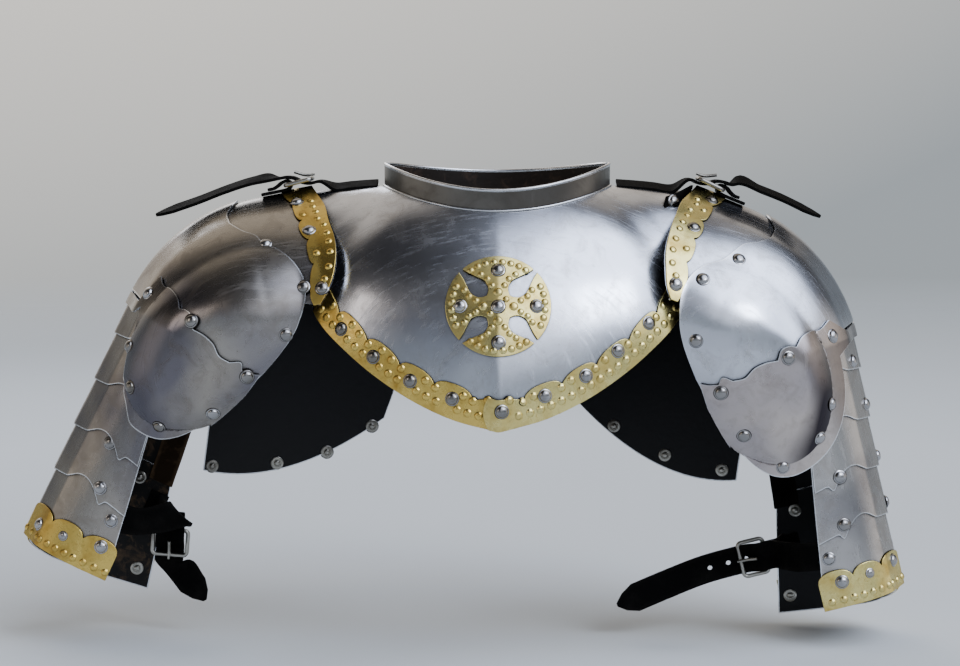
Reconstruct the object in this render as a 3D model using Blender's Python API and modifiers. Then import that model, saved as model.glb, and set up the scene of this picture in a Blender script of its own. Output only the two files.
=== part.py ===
"""Steel gorget with a pair of buckled-on pauldrons, brass borders and leather straps.

Metres, +Z up. The front looks along -Y and +X is the wearer's left. The origin lies in the
neck opening, at the height where the collar sits on the shoulders.
"""

import math

import bmesh
import bpy
from mathutils import Vector
from mathutils.bvhtree import BVHTree

# Stock
STEEL = 0.0012
BRASS = 0.0010
LEATHER = 0.0022
FIT = 0.0005
LAYER = STEEL + FIT

# Gorget
NECK_HALF_WIDTH = 0.079
NECK_HALF_DEPTH = 0.068
COLLAR_FRONT_HEIGHT = 0.0150
COLLAR_SIDE_HEIGHT = 0.0160
COLLAR_BACK_HEIGHT = 0.0160
NECK_SIDE_RISE = 0.0020
NECK_FRONT_DROP = 0.0140
NECK_BACK_DROP = 0.0040
GORGET_HALF_WIDTH = 0.144
GORGET_FRONT_REACH = 0.122
GORGET_FRONT_DROP = 0.155
GORGET_BACK_REACH = 0.085
GORGET_BACK_DROP = 0.127
GORGET_LAP = math.radians(4)
BORDER_WIDTH = 0.0225
BADGE_RADIUS = 0.0345
BADGE_DROP = 0.0745
BADGE_LEAN = math.radians(23)

# Pauldron ridge: a straight run at the neck, a bend over the shoulder, a straight run down the arm
RIDGE_LENGTH = 0.337
RIDGE_NECK_RUN = 0.040
RIDGE_BEND_RADIUS = 0.122
RIDGE_NECK_SLOPE = math.radians(22.0)
RIDGE_BEND = math.radians(54.1)
RIDGE_EDGE = 0.0015
RIDGE_BAND = 0.0130

# Pauldron sections, measured inward from the ridge and front to back
NECK_REACH = 0.095
SHOULDER_REACH = 0.080
ARM_REACH = 0.050
CAP_DEPTH = 0.076
CAP_BACK_EXTRA = 0.006
ARM_FRONT_DEPTH = 0.046
ARM_BACK_DEPTH = 0.056
OVAL_HALF_LENGTH = 0.077
OVAL_INNER_WIDTH = 0.037
OVAL_OUTER_WIDTH = 0.055
DOME_HEIGHT = 0.010
DOME_RIM = 0.009

# Straps and buckles
STRAP_WIDTH = 0.020
STRAP_GAP = 0.004
STRAP_LIFT_OFF = 0.016
STRAP_INSETS = (1.04, 1.28)
TAB_INSETS = (1.56, 1.30)
TIP_SHARE = 0.25
BUCKLE_WIRE = 0.0030
BUCKLE_LENGTH = 0.0210
BUCKLE_WIDTH = 0.0275
BUCKLE_CORNER = 0.0022
TAB_SHARE = 0.88
TONGUE_WIRE = 0.0022
CLEARANCE = 0.00035
LAME_STRAP_WIDTH = 0.018

# The two pauldrons hang a little differently, as the pair in use does
SIDES = (
    {"name": "left", "sign": 1, "hang_x": 0.1375, "hang_z": 0.0015, "swing": math.radians(0.0),
     "oval_top": (-0.00016, -0.05189), "oval_lean": math.radians(27.0),
     "free_end": ((0.030, 0.0050), (0.046, -0.0010), (0.061, -0.0070), (0.076, -0.0140), (0.088, -0.0200)),
     "arm_buckle": (0.1815, 0.0120, -0.2600), "arm_turn": math.radians(194.0),
     "strap_run": 0.885, "tab_run": 0.905,
     "arm_lead": ((0.2110, -0.0340, -0.2530, 92), (0.2045, -0.0220, -0.2545, 94), (0.2000, -0.0080, -0.2560, 100)),
     "arm_free": ((0.1480, 0.0110, -0.2690, 105), (0.1200, 0.0070, -0.2792, 108), (0.0920, 0.0020, -0.2902, 109),
                  (0.0850, 0.0010, -0.2930, 109)),
     "arm_tab": ((0.2030, 0.0190, -0.2560, 100), (0.2060, 0.0330, -0.2570, 96))},
    {"name": "right", "sign": -1, "hang_x": 0.1280, "hang_z": 0.0010, "swing": math.radians(11.0),
     "oval_top": (0.00004, -0.04936), "oval_lean": math.radians(34.0),
     "free_end": ((0.031, 0.0075), (0.042, 0.0054), (0.062, -0.0010), (0.080, -0.0080), (0.098, -0.0145),
                  (0.110, -0.0184)),
     "arm_buckle": (0.2320, 0.0180, -0.2500), "arm_turn": math.radians(275.0),
     "strap_run": 0.868, "tab_run": 0.865,
     "arm_lead": ((0.2310, -0.0290, -0.2260, 84), (0.2250, -0.0160, -0.2260, 66), (0.2225, -0.0040, -0.2285, 40),
                  (0.2260, 0.0040, -0.2340, 15)),
     "arm_free": ((0.2262, 0.0150, -0.2680, -30), (0.2170, 0.0120, -0.2800, -38), (0.2100, 0.0100, -0.2880, -42),
                  (0.2072, 0.0095, -0.2912, -42)),
     "arm_tab": ((0.2330, 0.0260, -0.2290, 25), (0.2370, 0.0390, -0.2285, 60))},
)

# Outer edge of the gorget, by angle round the neck from the front:
# degrees, then shares of the half width, the front or back reach and the front or back drop
GORGET_EDGE = (
    (-90, 0.000, -1.000, -1.000),
    (-75, 0.222, -0.934, -0.948),
    (-60, 0.451, -0.861, -0.845),
    (-45, 0.681, -0.754, -0.690),
    (-32, 0.854, -0.607, -0.516),
    (-22, 0.889, -0.450, -0.310),
    (-11, 0.951, -0.230, -0.116),
    (0, 1.000, 0.020, -0.035),
    (12, 0.958, 0.360, -0.142),
    (24, 0.882, 0.620, -0.354),
    (36, 0.785, 0.800, -0.630),
    (50, 0.590, 0.918, -0.819),
    (70, 0.292, 0.976, -0.953),
    (90, 0.000, 1.000, -1.000),
)
# Swell of the gorget between the neck and its edge: degrees, share of the half width
GORGET_SWELL = ((-90, 0.118), (-45, 0.104), (-30, 0.062), (-11, 0.020), (0, 0.008),
                (24, 0.030), (50, 0.083), (90, 0.104))
# Scallops of the lower border: share of the half width from the centre, share of the border width
BORDER_SCALLOPS = ((-0.045, 0.30), (-0.036, 0.62), (0.000, 0.80), (0.035, 0.92), (0.075, 0.93), (0.113, 0.72),
                   (0.155, 0.93), (0.200, 1.00), (0.245, 0.96), (0.285, 0.72), (0.325, 0.94),
                   (0.367, 1.00), (0.410, 0.96), (0.445, 0.72), (0.485, 0.94), (0.525, 1.00),
                   (0.565, 0.96), (0.603, 0.72), (0.640, 0.94), (0.680, 1.00), (0.720, 0.96),
                   (0.750, 0.74), (0.800, 0.90), (0.854, 0.95))
# Half angle of a badge arm: share of the radius, degrees
BADGE_ARM = ((0.30, 45.0), (0.37, 29.0), (0.48, 20.5), (0.60, 20.5), (0.74, 29.0), (0.88, 38.5), (1.00, 42.0))

# Neck edge and hidden outer edge of the neck plate, front half:
# share of the neck reach, then shares of the ridge length for the two edges
NECK_PLATE_FRONT = ((0.253, -0.042, 0.178), (0.379, -0.045, 0.148), (0.505, -0.042, 0.125),
                    (0.632, -0.028, 0.098), (0.726, -0.009, 0.071), (0.800, 0.012, 0.015))
NECK_PLATE_RIDGE = (0.000, 0.184)
NECK_PLATE_BAND = (-0.030, 0.202)
# Back half of the neck plate, a wing down the shoulder blade: inner edge and outer edge,
# shares of the ridge length out from the hanging point and up
NECK_PLATE_BACK = ((-0.062, -0.040, 0.170, -0.100), (-0.115, -0.083, 0.178, -0.165),
                   (-0.165, -0.145, 0.172, -0.245), (-0.200, -0.215, 0.160, -0.330),
                   (-0.225, -0.295, 0.146, -0.420), (-0.240, -0.385, 0.131, -0.520),
                   (-0.229, -0.475, 0.113, -0.640))
WING_FOOT_SAG = 0.050
NECK_BORDER_WIDTH = 0.070
# Neck border scallops: share of the neck reach, share of the border width
NECK_SCALLOPS = ((0.000, 0.55), (0.0158, 0.75), (0.050, 0.92), (0.100, 0.98), (0.137, 0.95), (0.205, 0.74), (0.260, 0.88),
                 (0.310, 0.86), (0.355, 0.72), (0.410, 0.84), (0.470, 0.84), (0.525, 0.70),
                 (0.590, 0.72), (0.660, 0.66), (0.740, 0.46), (0.795, 0.20))

# Cap plate: upper edge by share of the ridge length and share of the neck reach, at the ridge and beside it
CAP_TOP_RIDGE = ((0.158, 0.0), (0.166, 1.0))
CAP_TOP_STEP = ((0.181, 0.060), (0.178, 0.133))
CAP_TOP_FREE = ((0.150, 0.215), (0.121, 0.266), (0.107, 0.330))
CAP_TOP_TURNS = (-15, 0, 15, 30, 45, 60, 74, 84)
CAP_FOOT_RIDGE = 0.465
CAP_FOOT_TUCK = 0.10
CAP_FOOT_SPAN = (0.95, -0.65)
# Wing plate: waved upper edge in shares of the oval's outer width and half length,
# across from the ridge side and along from the middle
WING_WAVE = ((1.045, -0.076), (0.89, -0.050), (0.75, -0.082), (0.64, -0.080), (0.535, -0.035),
             (0.470, -0.074), (0.380, -0.082), (0.275, -0.015), (0.150, -0.045), (-0.010, -0.052),
             (-0.170, -0.014), (-0.300, -0.035), (-0.400, -0.100), (-0.470, -0.055), (-0.560, -0.085),
             (-0.640, -0.130))
WING_FOOT_START = -104.0
WING_FOOT_SWEEP = 164.0
BAND_STEP = 0.0035
WING_TOP_RIDGE = 0.436
WING_FOOT_RIDGE = 0.474

# Lames: lower ends as shares of the ridge length, and the waved lower edge
LAME_ENDS = (0.540, 0.644, 0.748, 0.850, 1.000)
FIRST_LAME_TOP = 0.445
LAME_LAP = 0.066
LAME_WAVE = ((0.00, 0.0), (0.26, -0.010), (0.40, -0.024), (0.52, -0.026), (0.64, -0.017), (0.75, 0.000),
             (0.83, 0.013), (0.89, 0.003), (1.00, 0.005), (1.18, 0.012), (1.40, 0.018))
LAME_FRONT_EDGE = ((0.54, 0.90), (0.65, 1.02), (0.75, 1.10), (0.85, 1.22), (1.00, 1.34))
LAME_BACK_EDGE = ((0.54, 1.20), (0.65, 1.32), (0.75, 1.44), (0.85, 1.56), (1.00, 1.84))
CUFF_BACK_FOOT = ((0.00, 0.000), (0.26, 0.018), (0.60, 0.040), (1.10, 0.048), (1.90, 0.036))
CUFF_SCALLOPS = ((0.00, 0.82), (0.13, 0.96), (0.26, 0.86), (0.36, 0.74), (0.46, 0.90), (0.58, 1.00),
                 (0.70, 0.94), (0.83, 0.74), (0.95, 0.92), (1.08, 1.00), (1.22, 0.88), (1.34, 0.62))
CUFF_WIDTH = 0.0265


def clear_scene():
    for thing in list(bpy.data.objects):
        bpy.data.objects.remove(thing, do_unlink=True)


def make_material(name, colour, roughness, metallic):
    material = bpy.data.materials.new(name)
    material.use_nodes = True
    shader = material.node_tree.nodes["Principled BSDF"]
    shader.inputs["Base Color"].default_value = (*colour, 1.0)
    shader.inputs["Roughness"].default_value = roughness
    shader.inputs["Metallic"].default_value = metallic
    material.diffuse_color = (*colour, 1.0)
    return material


def at(rows, where):
    """Straight interpolation in a table of pairs."""
    if where <= rows[0][0]:
        return rows[0][1]
    for (x0, y0), (x1, y1) in zip(rows, rows[1:]):
        if where <= x1:
            return y0 + (y1 - y0) * (where - x0) / (x1 - x0)
    return rows[-1][1]


def ramp(low, high, value):
    share = min(max((value - low) / (high - low), 0.0), 1.0)
    return share * share * (3 - 2 * share)


def sheet(name, rows, thickness, material, lift=0.0, flip=False, lifts=None):
    """A plate: a grid of points, raised off its neighbour, then thickened outward."""
    mesh_tool = bmesh.new()
    grid = [[mesh_tool.verts.new(point) for point in row] for row in rows]
    for upper, lower in zip(grid, grid[1:]):
        for i in range(len(upper) - 1):
            corners = [upper[i], lower[i], lower[i + 1], upper[i + 1]]
            mesh_tool.faces.new(corners[::-1] if flip else corners)
    raise_off(mesh_tool, {vert: lift + (lifts[i] if lifts else 0.0) for row in grid for i, vert in enumerate(row)})
    bmesh.ops.remove_doubles(mesh_tool, verts=mesh_tool.verts[:], dist=0.00002)
    return solid(name, mesh_tool, thickness, material)


def raise_off(mesh_tool, rises):
    """Moves each point out along the surface, so that the gap to what lies under it is even."""
    mesh_tool.normal_update()
    moves = {vert: vert.normal * min(vert.calc_shell_factor(), 1.5) * rise for vert, rise in rises.items()}
    for vert, move in moves.items():
        vert.co += move


def solid(name, mesh_tool, thickness, material):
    mesh = bpy.data.meshes.new(name)
    mesh_tool.to_mesh(mesh)
    mesh_tool.free()
    part = bpy.data.objects.new(name, mesh)
    part.data.materials.append(material)
    shell = part.modifiers.new("Thickness", "SOLIDIFY")
    shell.thickness = thickness
    shell.offset = 1.0
    shell.use_even_offset = True
    parts.objects.link(part)
    mesh.shade_smooth()
    mesh.set_sharp_from_angle(angle=math.radians(25))
    return part


def wire(name, points, diameter, material, closed):
    """A bent wire, such as a buckle frame or its tongue."""
    curve = bpy.data.curves.new(name, "CURVE")
    curve.dimensions = "3D"
    curve.bevel_depth = diameter / 2
    curve.bevel_resolution = 2
    curve.use_fill_caps = True
    spline = curve.splines.new("POLY")
    spline.points.add(len(points) - 1)
    for spot, point in zip(spline.points, points):
        spot.co = (*point, 1.0)
    spline.use_cyclic_u = closed
    part = bpy.data.objects.new(name, curve)
    curve.materials.append(material)
    parts.objects.link(part)
    return part


# Ridge and section of a pauldron. A place is given by its run along the ridge and its inset from it.


def ridge_line(run):
    """Point of the ridge seen from the front, and the direction inward from it."""
    if run < RIDGE_NECK_RUN:
        turn = RIDGE_NECK_SLOPE
    else:
        turn = min(RIDGE_NECK_SLOPE + (run - RIDGE_NECK_RUN) / RIDGE_BEND_RADIUS, RIDGE_NECK_SLOPE + RIDGE_BEND)
    inward = Vector((-math.sin(turn), -math.cos(turn)))
    forward = Vector((math.cos(turn), -math.sin(turn)))
    spot = BEND_CENTRE - RIDGE_BEND_RADIUS * inward
    if run < RIDGE_NECK_RUN:
        spot += forward * (run - RIDGE_NECK_RUN)
    elif run > BEND_END:
        spot += forward * (run - BEND_END)
    return spot, inward


def ridge_place(x, z):
    """Run and inset of a point, from the nearest point of the ridge."""
    spot = Vector((x, z))
    choices = []
    for start, limit in ((0.0, -1), (BEND_END, 1)):
        base, inward = ridge_line(start)
        forward = Vector((-inward.y, inward.x))
        run = start + (spot - base).dot(forward)
        if (limit < 0 and run <= RIDGE_NECK_RUN) or (limit > 0 and run >= BEND_END):
            choices.append(((spot - base).dot(inward), run))
    arm = spot - BEND_CENTRE
    turn = math.atan2(arm.x, arm.y)
    if RIDGE_NECK_SLOPE <= turn <= RIDGE_NECK_SLOPE + RIDGE_BEND:
        choices.append((RIDGE_BEND_RADIUS - arm.length, RIDGE_NECK_RUN + RIDGE_BEND_RADIUS * (turn - RIDGE_NECK_SLOPE)))
    if not choices:
        return BEND_END, RIDGE_BEND_RADIUS
    inset, run = min(choices, key=lambda choice: abs(choice[0]))
    return run, inset


def from_ridge(run, inset):
    spot, inward = ridge_line(run)
    return spot + inward * inset


def oval_axes(side):
    """Middle of the oval, hung by its upper end, with its directions across and along."""
    lean = side["oval_lean"]
    along = Vector((math.sin(lean), -math.cos(lean)))
    return Vector(side["oval_top"]) + along * OVAL_HALF_LENGTH, Vector((math.cos(lean), math.sin(lean))), along


def oval_spot(side, across, along):
    """Point of the oval wing from its place across (outward) and along (downward) the oval."""
    middle, outward, downward = oval_axes(side)
    return middle + outward * across + downward * along


def oval_place(side, x, z):
    middle, outward, downward = oval_axes(side)
    away = Vector((x, z)) - middle
    return away.dot(outward), away.dot(downward)


def oval_edge(side, turn):
    """Outline of the oval, by degrees from its top, inward side positive."""
    angle = math.radians(turn)
    power = 0.77 if turn > 0 else 1.0
    width = OVAL_INNER_WIDTH if turn > 0 else OVAL_OUTER_WIDTH
    along = -math.copysign(abs(math.cos(angle)) ** power, math.cos(angle)) * OVAL_HALF_LENGTH
    across = -math.copysign(abs(math.sin(angle)) ** power, math.sin(angle)) * width
    return oval_spot(side, across, along)


def section_depth(x, z, full):
    """How far the surface lies in front of or behind the ridge: a squared round with a flat band at the ridge."""
    run, inset = ridge_place(x, z)
    reach = at(((0.0, NECK_REACH), (0.18, SHOULDER_REACH), (0.46, ARM_REACH)), run / RIDGE_LENGTH)
    boxiness = at(((0.0, 1.15), (0.18, 1.6), (0.46, 2.2)), run / RIDGE_LENGTH)

    def curve(where):
        share = min(max(where / reach, 0.0), 1.0)
        return full * (1 - (1 - share) ** 2) ** (1 / boxiness)

    if inset < RIDGE_EDGE:
        return curve(RIDGE_EDGE) * max(inset, 0.0) / RIDGE_EDGE
    if inset < RIDGE_BAND:
        return curve(RIDGE_EDGE) + (curve(RIDGE_BAND) - curve(RIDGE_EDGE)) * (inset - RIDGE_EDGE) / (
            RIDGE_BAND - RIDGE_EDGE)
    return curve(inset)


def dome(side, x, z):
    """Raised middle of the oval, with a flat rim left on its outer and lower sides."""
    across, along = oval_place(side, x, z)
    wide = OVAL_OUTER_WIDTH - DOME_RIM if across > 0 else OVAL_INNER_WIDTH + DOME_RIM / 2
    tall = OVAL_HALF_LENGTH - DOME_RIM if along > 0 else OVAL_HALF_LENGTH
    left = 1 - (across / wide) ** 2 - (along / tall) ** 2
    return DOME_HEIGHT * left ** (1.2 - 0.35 * along / OVAL_HALF_LENGTH) if left > 0 else 0.0


def skin_point(side, spot, back, arm, domed):
    """A point of a plate, in the pauldron's own frame, from where it is seen from the front."""
    x, z = spot
    if arm:
        full = ARM_BACK_DEPTH if back else ARM_FRONT_DEPTH
    else:
        across, along = oval_place(side, x, z)
        full = CAP_DEPTH - 0.16 * along - 0.08 * across + (CAP_BACK_EXTRA if back else 0.0)
    depth = section_depth(x, z, full) + (dome(side, x, z) if domed else 0.0)
    return Vector((x, depth if back else -depth, z))


def hang(side, point):
    """Pauldron frame to world: swung out about the hanging point, and mirrored on the right."""
    swing = side["swing"]
    x = point.x * math.cos(swing) - point.z * math.sin(swing)
    z = point.x * math.sin(swing) + point.z * math.cos(swing)
    return Vector((side["sign"] * (side["hang_x"] + x), point.y, side["hang_z"] + z))


def between(first, second, share):
    """Point between two edge points: near the ridge it keeps to the bend, further in it runs straight."""
    run_a, inset_a = ridge_place(*first)
    run_b, inset_b = ridge_place(*second)
    bent = from_ridge(run_a + (run_b - run_a) * share, inset_a + (inset_b - inset_a) * share)
    straight = first.lerp(second, share)
    return bent.lerp(straight, ramp(0.3 * NECK_REACH, 0.75 * NECK_REACH, max(inset_a, inset_b)))


def half_rows(side, upper, lower, count, back=False, arm=False, domed=False, sag=None):
    """Grid between two edges, each listed from the ridge to the plate's end."""
    rows = []
    for j in range(count + 1):
        share = j / count
        row = []
        for i, (top, foot) in enumerate(zip(upper, lower)):
            spot = between(top, foot, share)
            if sag:
                spot += sag * 4 * share * (1 - share) * (i / (len(upper) - 1)) ** 3
            row.append(hang(side, skin_point(side, spot, back, arm, domed)))
        rows.append(row)
    return rows


def join_halves(front, back):
    return [list(reversed(f)) + b[1:] for f, b in zip(front, back)]


def pauldron_sheet(side, piece, rows, thickness, material, lift=0.0):
    return sheet(side["name"] + "_" + piece, rows, thickness, material, lift=lift, flip=side["sign"] < 0)


def ridge_spots(runs):
    """Edge points on the ridge and at both edges of its flat band."""
    return [from_ridge(run * RIDGE_LENGTH, inset) for run, inset in zip(runs, (0.0, RIDGE_EDGE, RIDGE_BAND))]


def neck_plate(side):
    runs = (NECK_PLATE_RIDGE, NECK_PLATE_RIDGE, NECK_PLATE_BAND)
    upper = ridge_spots([pair[0] for pair in runs])
    lower = ridge_spots([pair[1] for pair in runs])
    front_upper, front_lower = list(upper), list(lower)
    for inset, neck, foot in NECK_PLATE_FRONT:
        front_upper.append(from_ridge(neck * RIDGE_LENGTH, inset * NECK_REACH))
        front_lower.append(from_ridge(foot * RIDGE_LENGTH, inset * NECK_REACH))
    back_upper, back_lower = list(upper), list(lower)
    for inner_x, inner_z, outer_x, outer_z in NECK_PLATE_BACK:
        back_upper.append(Vector((inner_x, inner_z)) * RIDGE_LENGTH)
        back_lower.append(Vector((outer_x, outer_z)) * RIDGE_LENGTH)
    sag = Vector((0.0, -WING_FOOT_SAG * RIDGE_LENGTH))
    rows = join_halves(half_rows(side, front_upper, front_lower, 5),
                       half_rows(side, back_upper, back_lower, 5, back=True, sag=sag))
    pauldron_sheet(side, "neck_plate", rows, STEEL, steel)


def neck_border(side):
    """Brass edging on the front of the neck plate."""
    edge = [(0.0, NECK_PLATE_RIDGE[0]), (RIDGE_BAND / NECK_REACH, NECK_PLATE_BAND[0])]
    edge += [(inset, neck) for inset, neck, foot in NECK_PLATE_FRONT]
    upper, lower = [], []
    for inset, share in NECK_SCALLOPS:
        run = at(edge, inset)
        upper.append(from_ridge(run * RIDGE_LENGTH, inset * NECK_REACH))
        lower.append(from_ridge((run + NECK_BORDER_WIDTH * share) * RIDGE_LENGTH, inset * NECK_REACH))
    rows = [list(reversed(row)) for row in half_rows(side, upper, lower, 2)]
    pauldron_sheet(side, "neck_border", rows, BRASS, brass, lift=LAYER)


def off_band(spot, column):
    """Keeps a column of a plate clear of the flat band along the ridge."""
    run, inset = ridge_place(*spot)
    return from_ridge(run, max(inset, RIDGE_BAND + BAND_STEP * (column + 1)))


def cap_plate(side):
    top = [from_ridge(run * RIDGE_LENGTH, share * RIDGE_EDGE) for run, share in CAP_TOP_RIDGE]
    top += [from_ridge(run * RIDGE_LENGTH, inset * NECK_REACH) for run, inset in CAP_TOP_STEP + CAP_TOP_FREE]
    top += [oval_edge(side, turn) for turn in CAP_TOP_TURNS]
    foot = [from_ridge(CAP_FOOT_RIDGE * RIDGE_LENGTH, inset)
            for inset in (0.0, RIDGE_EDGE, CAP_TOP_STEP[0][1] * NECK_REACH, RIDGE_BAND)]
    free = len(top) - len(foot)
    first, last = CAP_FOOT_SPAN
    for column in range(free):
        across = (first + (last - first) * column / (free - 1)) * OVAL_OUTER_WIDTH
        foot.append(off_band(oval_spot(side, across, CAP_FOOT_TUCK * OVAL_HALF_LENGTH), column))
    front = half_rows(side, top, foot, 6, domed=True)
    back = half_rows(side, top, foot, 6, back=True, domed=True)
    pauldron_sheet(side, "cap_plate", join_halves(front, back), STEEL, steel, lift=LAYER)


def wing_plate(side):
    top = [from_ridge(WING_TOP_RIDGE * RIDGE_LENGTH, inset) for inset in (0.0, RIDGE_EDGE, RIDGE_BAND)]
    foot = [from_ridge(WING_FOOT_RIDGE * RIDGE_LENGTH, inset) for inset in (0.0, RIDGE_EDGE, RIDGE_BAND)]
    first, last = WING_WAVE[0][0], WING_WAVE[-1][0]
    for column, (across, along) in enumerate(WING_WAVE):
        top.append(off_band(oval_spot(side, across * OVAL_OUTER_WIDTH, along * OVAL_HALF_LENGTH), column))
        turn = WING_FOOT_START - WING_FOOT_SWEEP * (first - across) / (first - last)
        foot.append(off_band(oval_edge(side, turn if turn > -180 else turn + 360), column))
    front = half_rows(side, top, foot, 4, domed=True)
    back = half_rows(side, top, foot, 4, back=True, domed=True)
    pauldron_sheet(side, "wing_plate", join_halves(front, back), STEEL, steel, lift=2 * LAYER + FIT)


def lame_columns(edge_share):
    """Insets of a lame's columns, in shares of the arm reach, out to its free edge."""
    inner = [RIDGE_EDGE / ARM_REACH] + [row[0] for row in LAME_WAVE[1:]]
    return [0.0] + [share for share in inner if share < edge_share - 0.05] + [edge_share]


def lame_edge(end, shares, waved, extra=()):
    edge = []
    for share in shares:
        run = end + (at(LAME_WAVE, share) if waved else 0.0) + (at(extra, share) if extra else 0.0)
        edge.append(from_ridge(run * RIDGE_LENGTH, share * ARM_REACH))
    return edge


def lame(side, number):
    end = LAME_ENDS[number]
    top = FIRST_LAME_TOP if number == 0 else LAME_ENDS[number - 1] - LAME_LAP
    last = number == len(LAME_ENDS) - 1
    halves = []
    for back, edge in ((False, LAME_FRONT_EDGE), (True, LAME_BACK_EDGE)):
        shares_foot = lame_columns(at(edge, end))
        trim = at(edge, end) - at(edge, top)
        shares_top = shares_foot[:-1] + [max(shares_foot[-1] - trim, shares_foot[-2] + 0.01)]
        upper = lame_edge(top, shares_top, False)
        lower = lame_edge(end, shares_foot, not last, CUFF_BACK_FOOT if last and back else ())
        halves.append(half_rows(side, upper, lower, 1, back=back, arm=True))
    pauldron_sheet(side, "lame_%d" % (number + 1), join_halves(*halves), STEEL, steel, lift=-number * LAYER)


def cuff_border(side):
    """Brass edging round the last lame."""
    halves = []
    for back in (False, True):
        upper, lower = [], []
        stretch = 1.0 if not back else LAME_BACK_EDGE[-1][1] / LAME_FRONT_EDGE[-1][1]
        stops = {share * stretch for share, height in CUFF_SCALLOPS}
        stops |= set(lame_columns((LAME_BACK_EDGE if back else LAME_FRONT_EDGE)[-1][1]))
        for inset in sorted(stops):
            run = 1.0 + (at(CUFF_BACK_FOOT, inset) if back else 0.0)
            height = at(CUFF_SCALLOPS, inset / stretch)
            lower.append(from_ridge(run * RIDGE_LENGTH, inset * ARM_REACH))
            upper.append(from_ridge(run * RIDGE_LENGTH - height * CUFF_WIDTH, inset * ARM_REACH))
        halves.append(half_rows(side, upper, lower, 1, back=back, arm=True))
    pauldron_sheet(side, "cuff_border", join_halves(*halves), BRASS, brass, lift=-(len(LAME_ENDS) - 2) * LAYER)


# Straps and buckles of a pauldron


def ribbon(name, rows, thickness, material):
    """A strap: a row of centres, each with its half width as a vector, thickened both ways."""
    mesh_tool = bmesh.new()
    pairs = [(mesh_tool.verts.new(centre - half), mesh_tool.verts.new(centre + half)) for centre, half in rows]
    for (a, b), (c, d) in zip(pairs, pairs[1:]):
        mesh_tool.faces.new((a, b, d, c))
    part = solid(name, mesh_tool, thickness, material)
    part.modifiers["Thickness"].offset = 0.0
    return part


def buckle(name, place, strap_low, tab_low, lead, trail, tab_tail):
    """Frame, tongue, strap and tab. place turns a run from the free bar, a height and a place across
    into a point; lead, trail and tab_tail are the strap's and the tab's rows beyond the buckle."""
    half = STRAP_WIDTH / 2
    wire_half, leather_half = BUCKLE_WIRE / 2, LEATHER / 2
    free_bar = strap_low + leather_half + CLEARANCE + wire_half
    heel_run = BUCKLE_LENGTH - BUCKLE_WIRE
    wrap = wire_half + CLEARANCE + leather_half
    heel_bar = tab_low + wrap + CLEARANCE
    over_heel = heel_bar + wrap + LEATHER + CLEARANCE

    frame = []
    long_half, wide_half = heel_run / 2, (BUCKLE_WIDTH - BUCKLE_WIRE) / 2
    for index, (run_sign, side_sign) in enumerate(((1, 1), (-1, 1), (-1, -1), (1, -1))):
        for turn in (15, 75):
            angle = math.radians(90 * index + turn)
            run = run_sign * (long_half - BUCKLE_CORNER) + BUCKLE_CORNER * math.cos(angle)
            across = side_sign * (wide_half - BUCKLE_CORNER) + BUCKLE_CORNER * math.sin(angle)
            height = free_bar + (heel_bar - free_bar) * (run + long_half) / heel_run
            frame.append(place(run + long_half, height, across))
    wire(name + "_buckle", frame, BUCKLE_WIRE, steel, True)

    tongue_low = free_bar + wire_half + CLEARANCE + TONGUE_WIRE / 2
    tongue = [place(-0.0025, tongue_low, 0.0), place(0.0025, tongue_low, 0.0),
              place(heel_run - 0.007, over_heel + leather_half + CLEARANCE + TONGUE_WIRE / 2, 0.0)]
    wire(name + "_tongue", tongue, TONGUE_WIRE, steel, False)

    def row(run, height, share=1.0):
        low, high = place(run, height, -half * share), place(run, height, half * share)
        return (low + high) / 2, (high - low) / 2

    through = [row(-0.0055, strap_low), row(0.0015, strap_low), row(0.006, strap_low + 0.0014),
               row(heel_run - 0.006, over_heel - 0.0016), row(heel_run, over_heel), row(heel_run + 0.004, over_heel)]
    ribbon(name + "_strap", lead + through + trail, LEATHER, leather)

    tab = [row(heel_run + 0.013, tab_low + LEATHER + CLEARANCE, TAB_SHARE),
           row(heel_run + 0.009, tab_low + LEATHER + CLEARANCE, TAB_SHARE)]
    for turn in (90, 135, 180, 225, 270):
        angle = math.radians(turn)
        tab.append(row(heel_run + wrap * math.cos(angle), heel_bar + wrap * math.sin(angle), TAB_SHARE))
    tab += [row(heel_run + run, tab_low, TAB_SHARE) for run in ((0.004, 0.010) if tab_tail else (0.008, 0.018))]
    ribbon(name + "_tab", tab + tab_tail, LEATHER, leather)


def shoulder_buckle(side):
    """Strap from the collar, buckled over the hanging point to a tab on the neck plate's ridge."""
    side_ways = Vector((0.0, STRAP_WIDTH / 2, 0.0))

    def place(run, height, across):
        spot, inward = ridge_line(run)
        spot = spot - inward * (STEEL + height)
        return hang(side, Vector((spot.x, across, spot.y)))

    lead = []
    start, stop = NECK_HALF_WIDTH + STRAP_GAP, side["hang_x"] - STRAP_LIFT_OFF
    for share in (0.0, 0.33, 0.67, 1.0):
        x = start + (stop - start) * share
        top = gorget_height(x) + STEEL + CLEARANCE + LEATHER / 2
        lead.append((Vector((side["sign"] * x, 0.0, top)), side_ways))
    trail = []
    for out, rise in side["free_end"]:
        spot = Vector((side["sign"] * (side["hang_x"] + out), 0.0, side["hang_z"] + rise))
        trail.append((spot, side_ways))
    trail[-1] = (trail[-1][0], side_ways * TIP_SHARE)
    buckle(side["name"] + "_shoulder", place, FIT + BRASS + CLEARANCE + LEATHER / 2, CLEARANCE + LEATHER / 2,
           lead, trail, [])


def world_row(side, x, y, z, turn):
    """A strap row from its centre and the turn of its width, seen from the front."""
    angle = math.radians(turn)
    half = Vector((side["sign"] * math.cos(angle), 0.0, math.sin(angle))) * (STRAP_WIDTH / 2)
    return Vector((side["sign"] * x, y, z)), half


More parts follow.
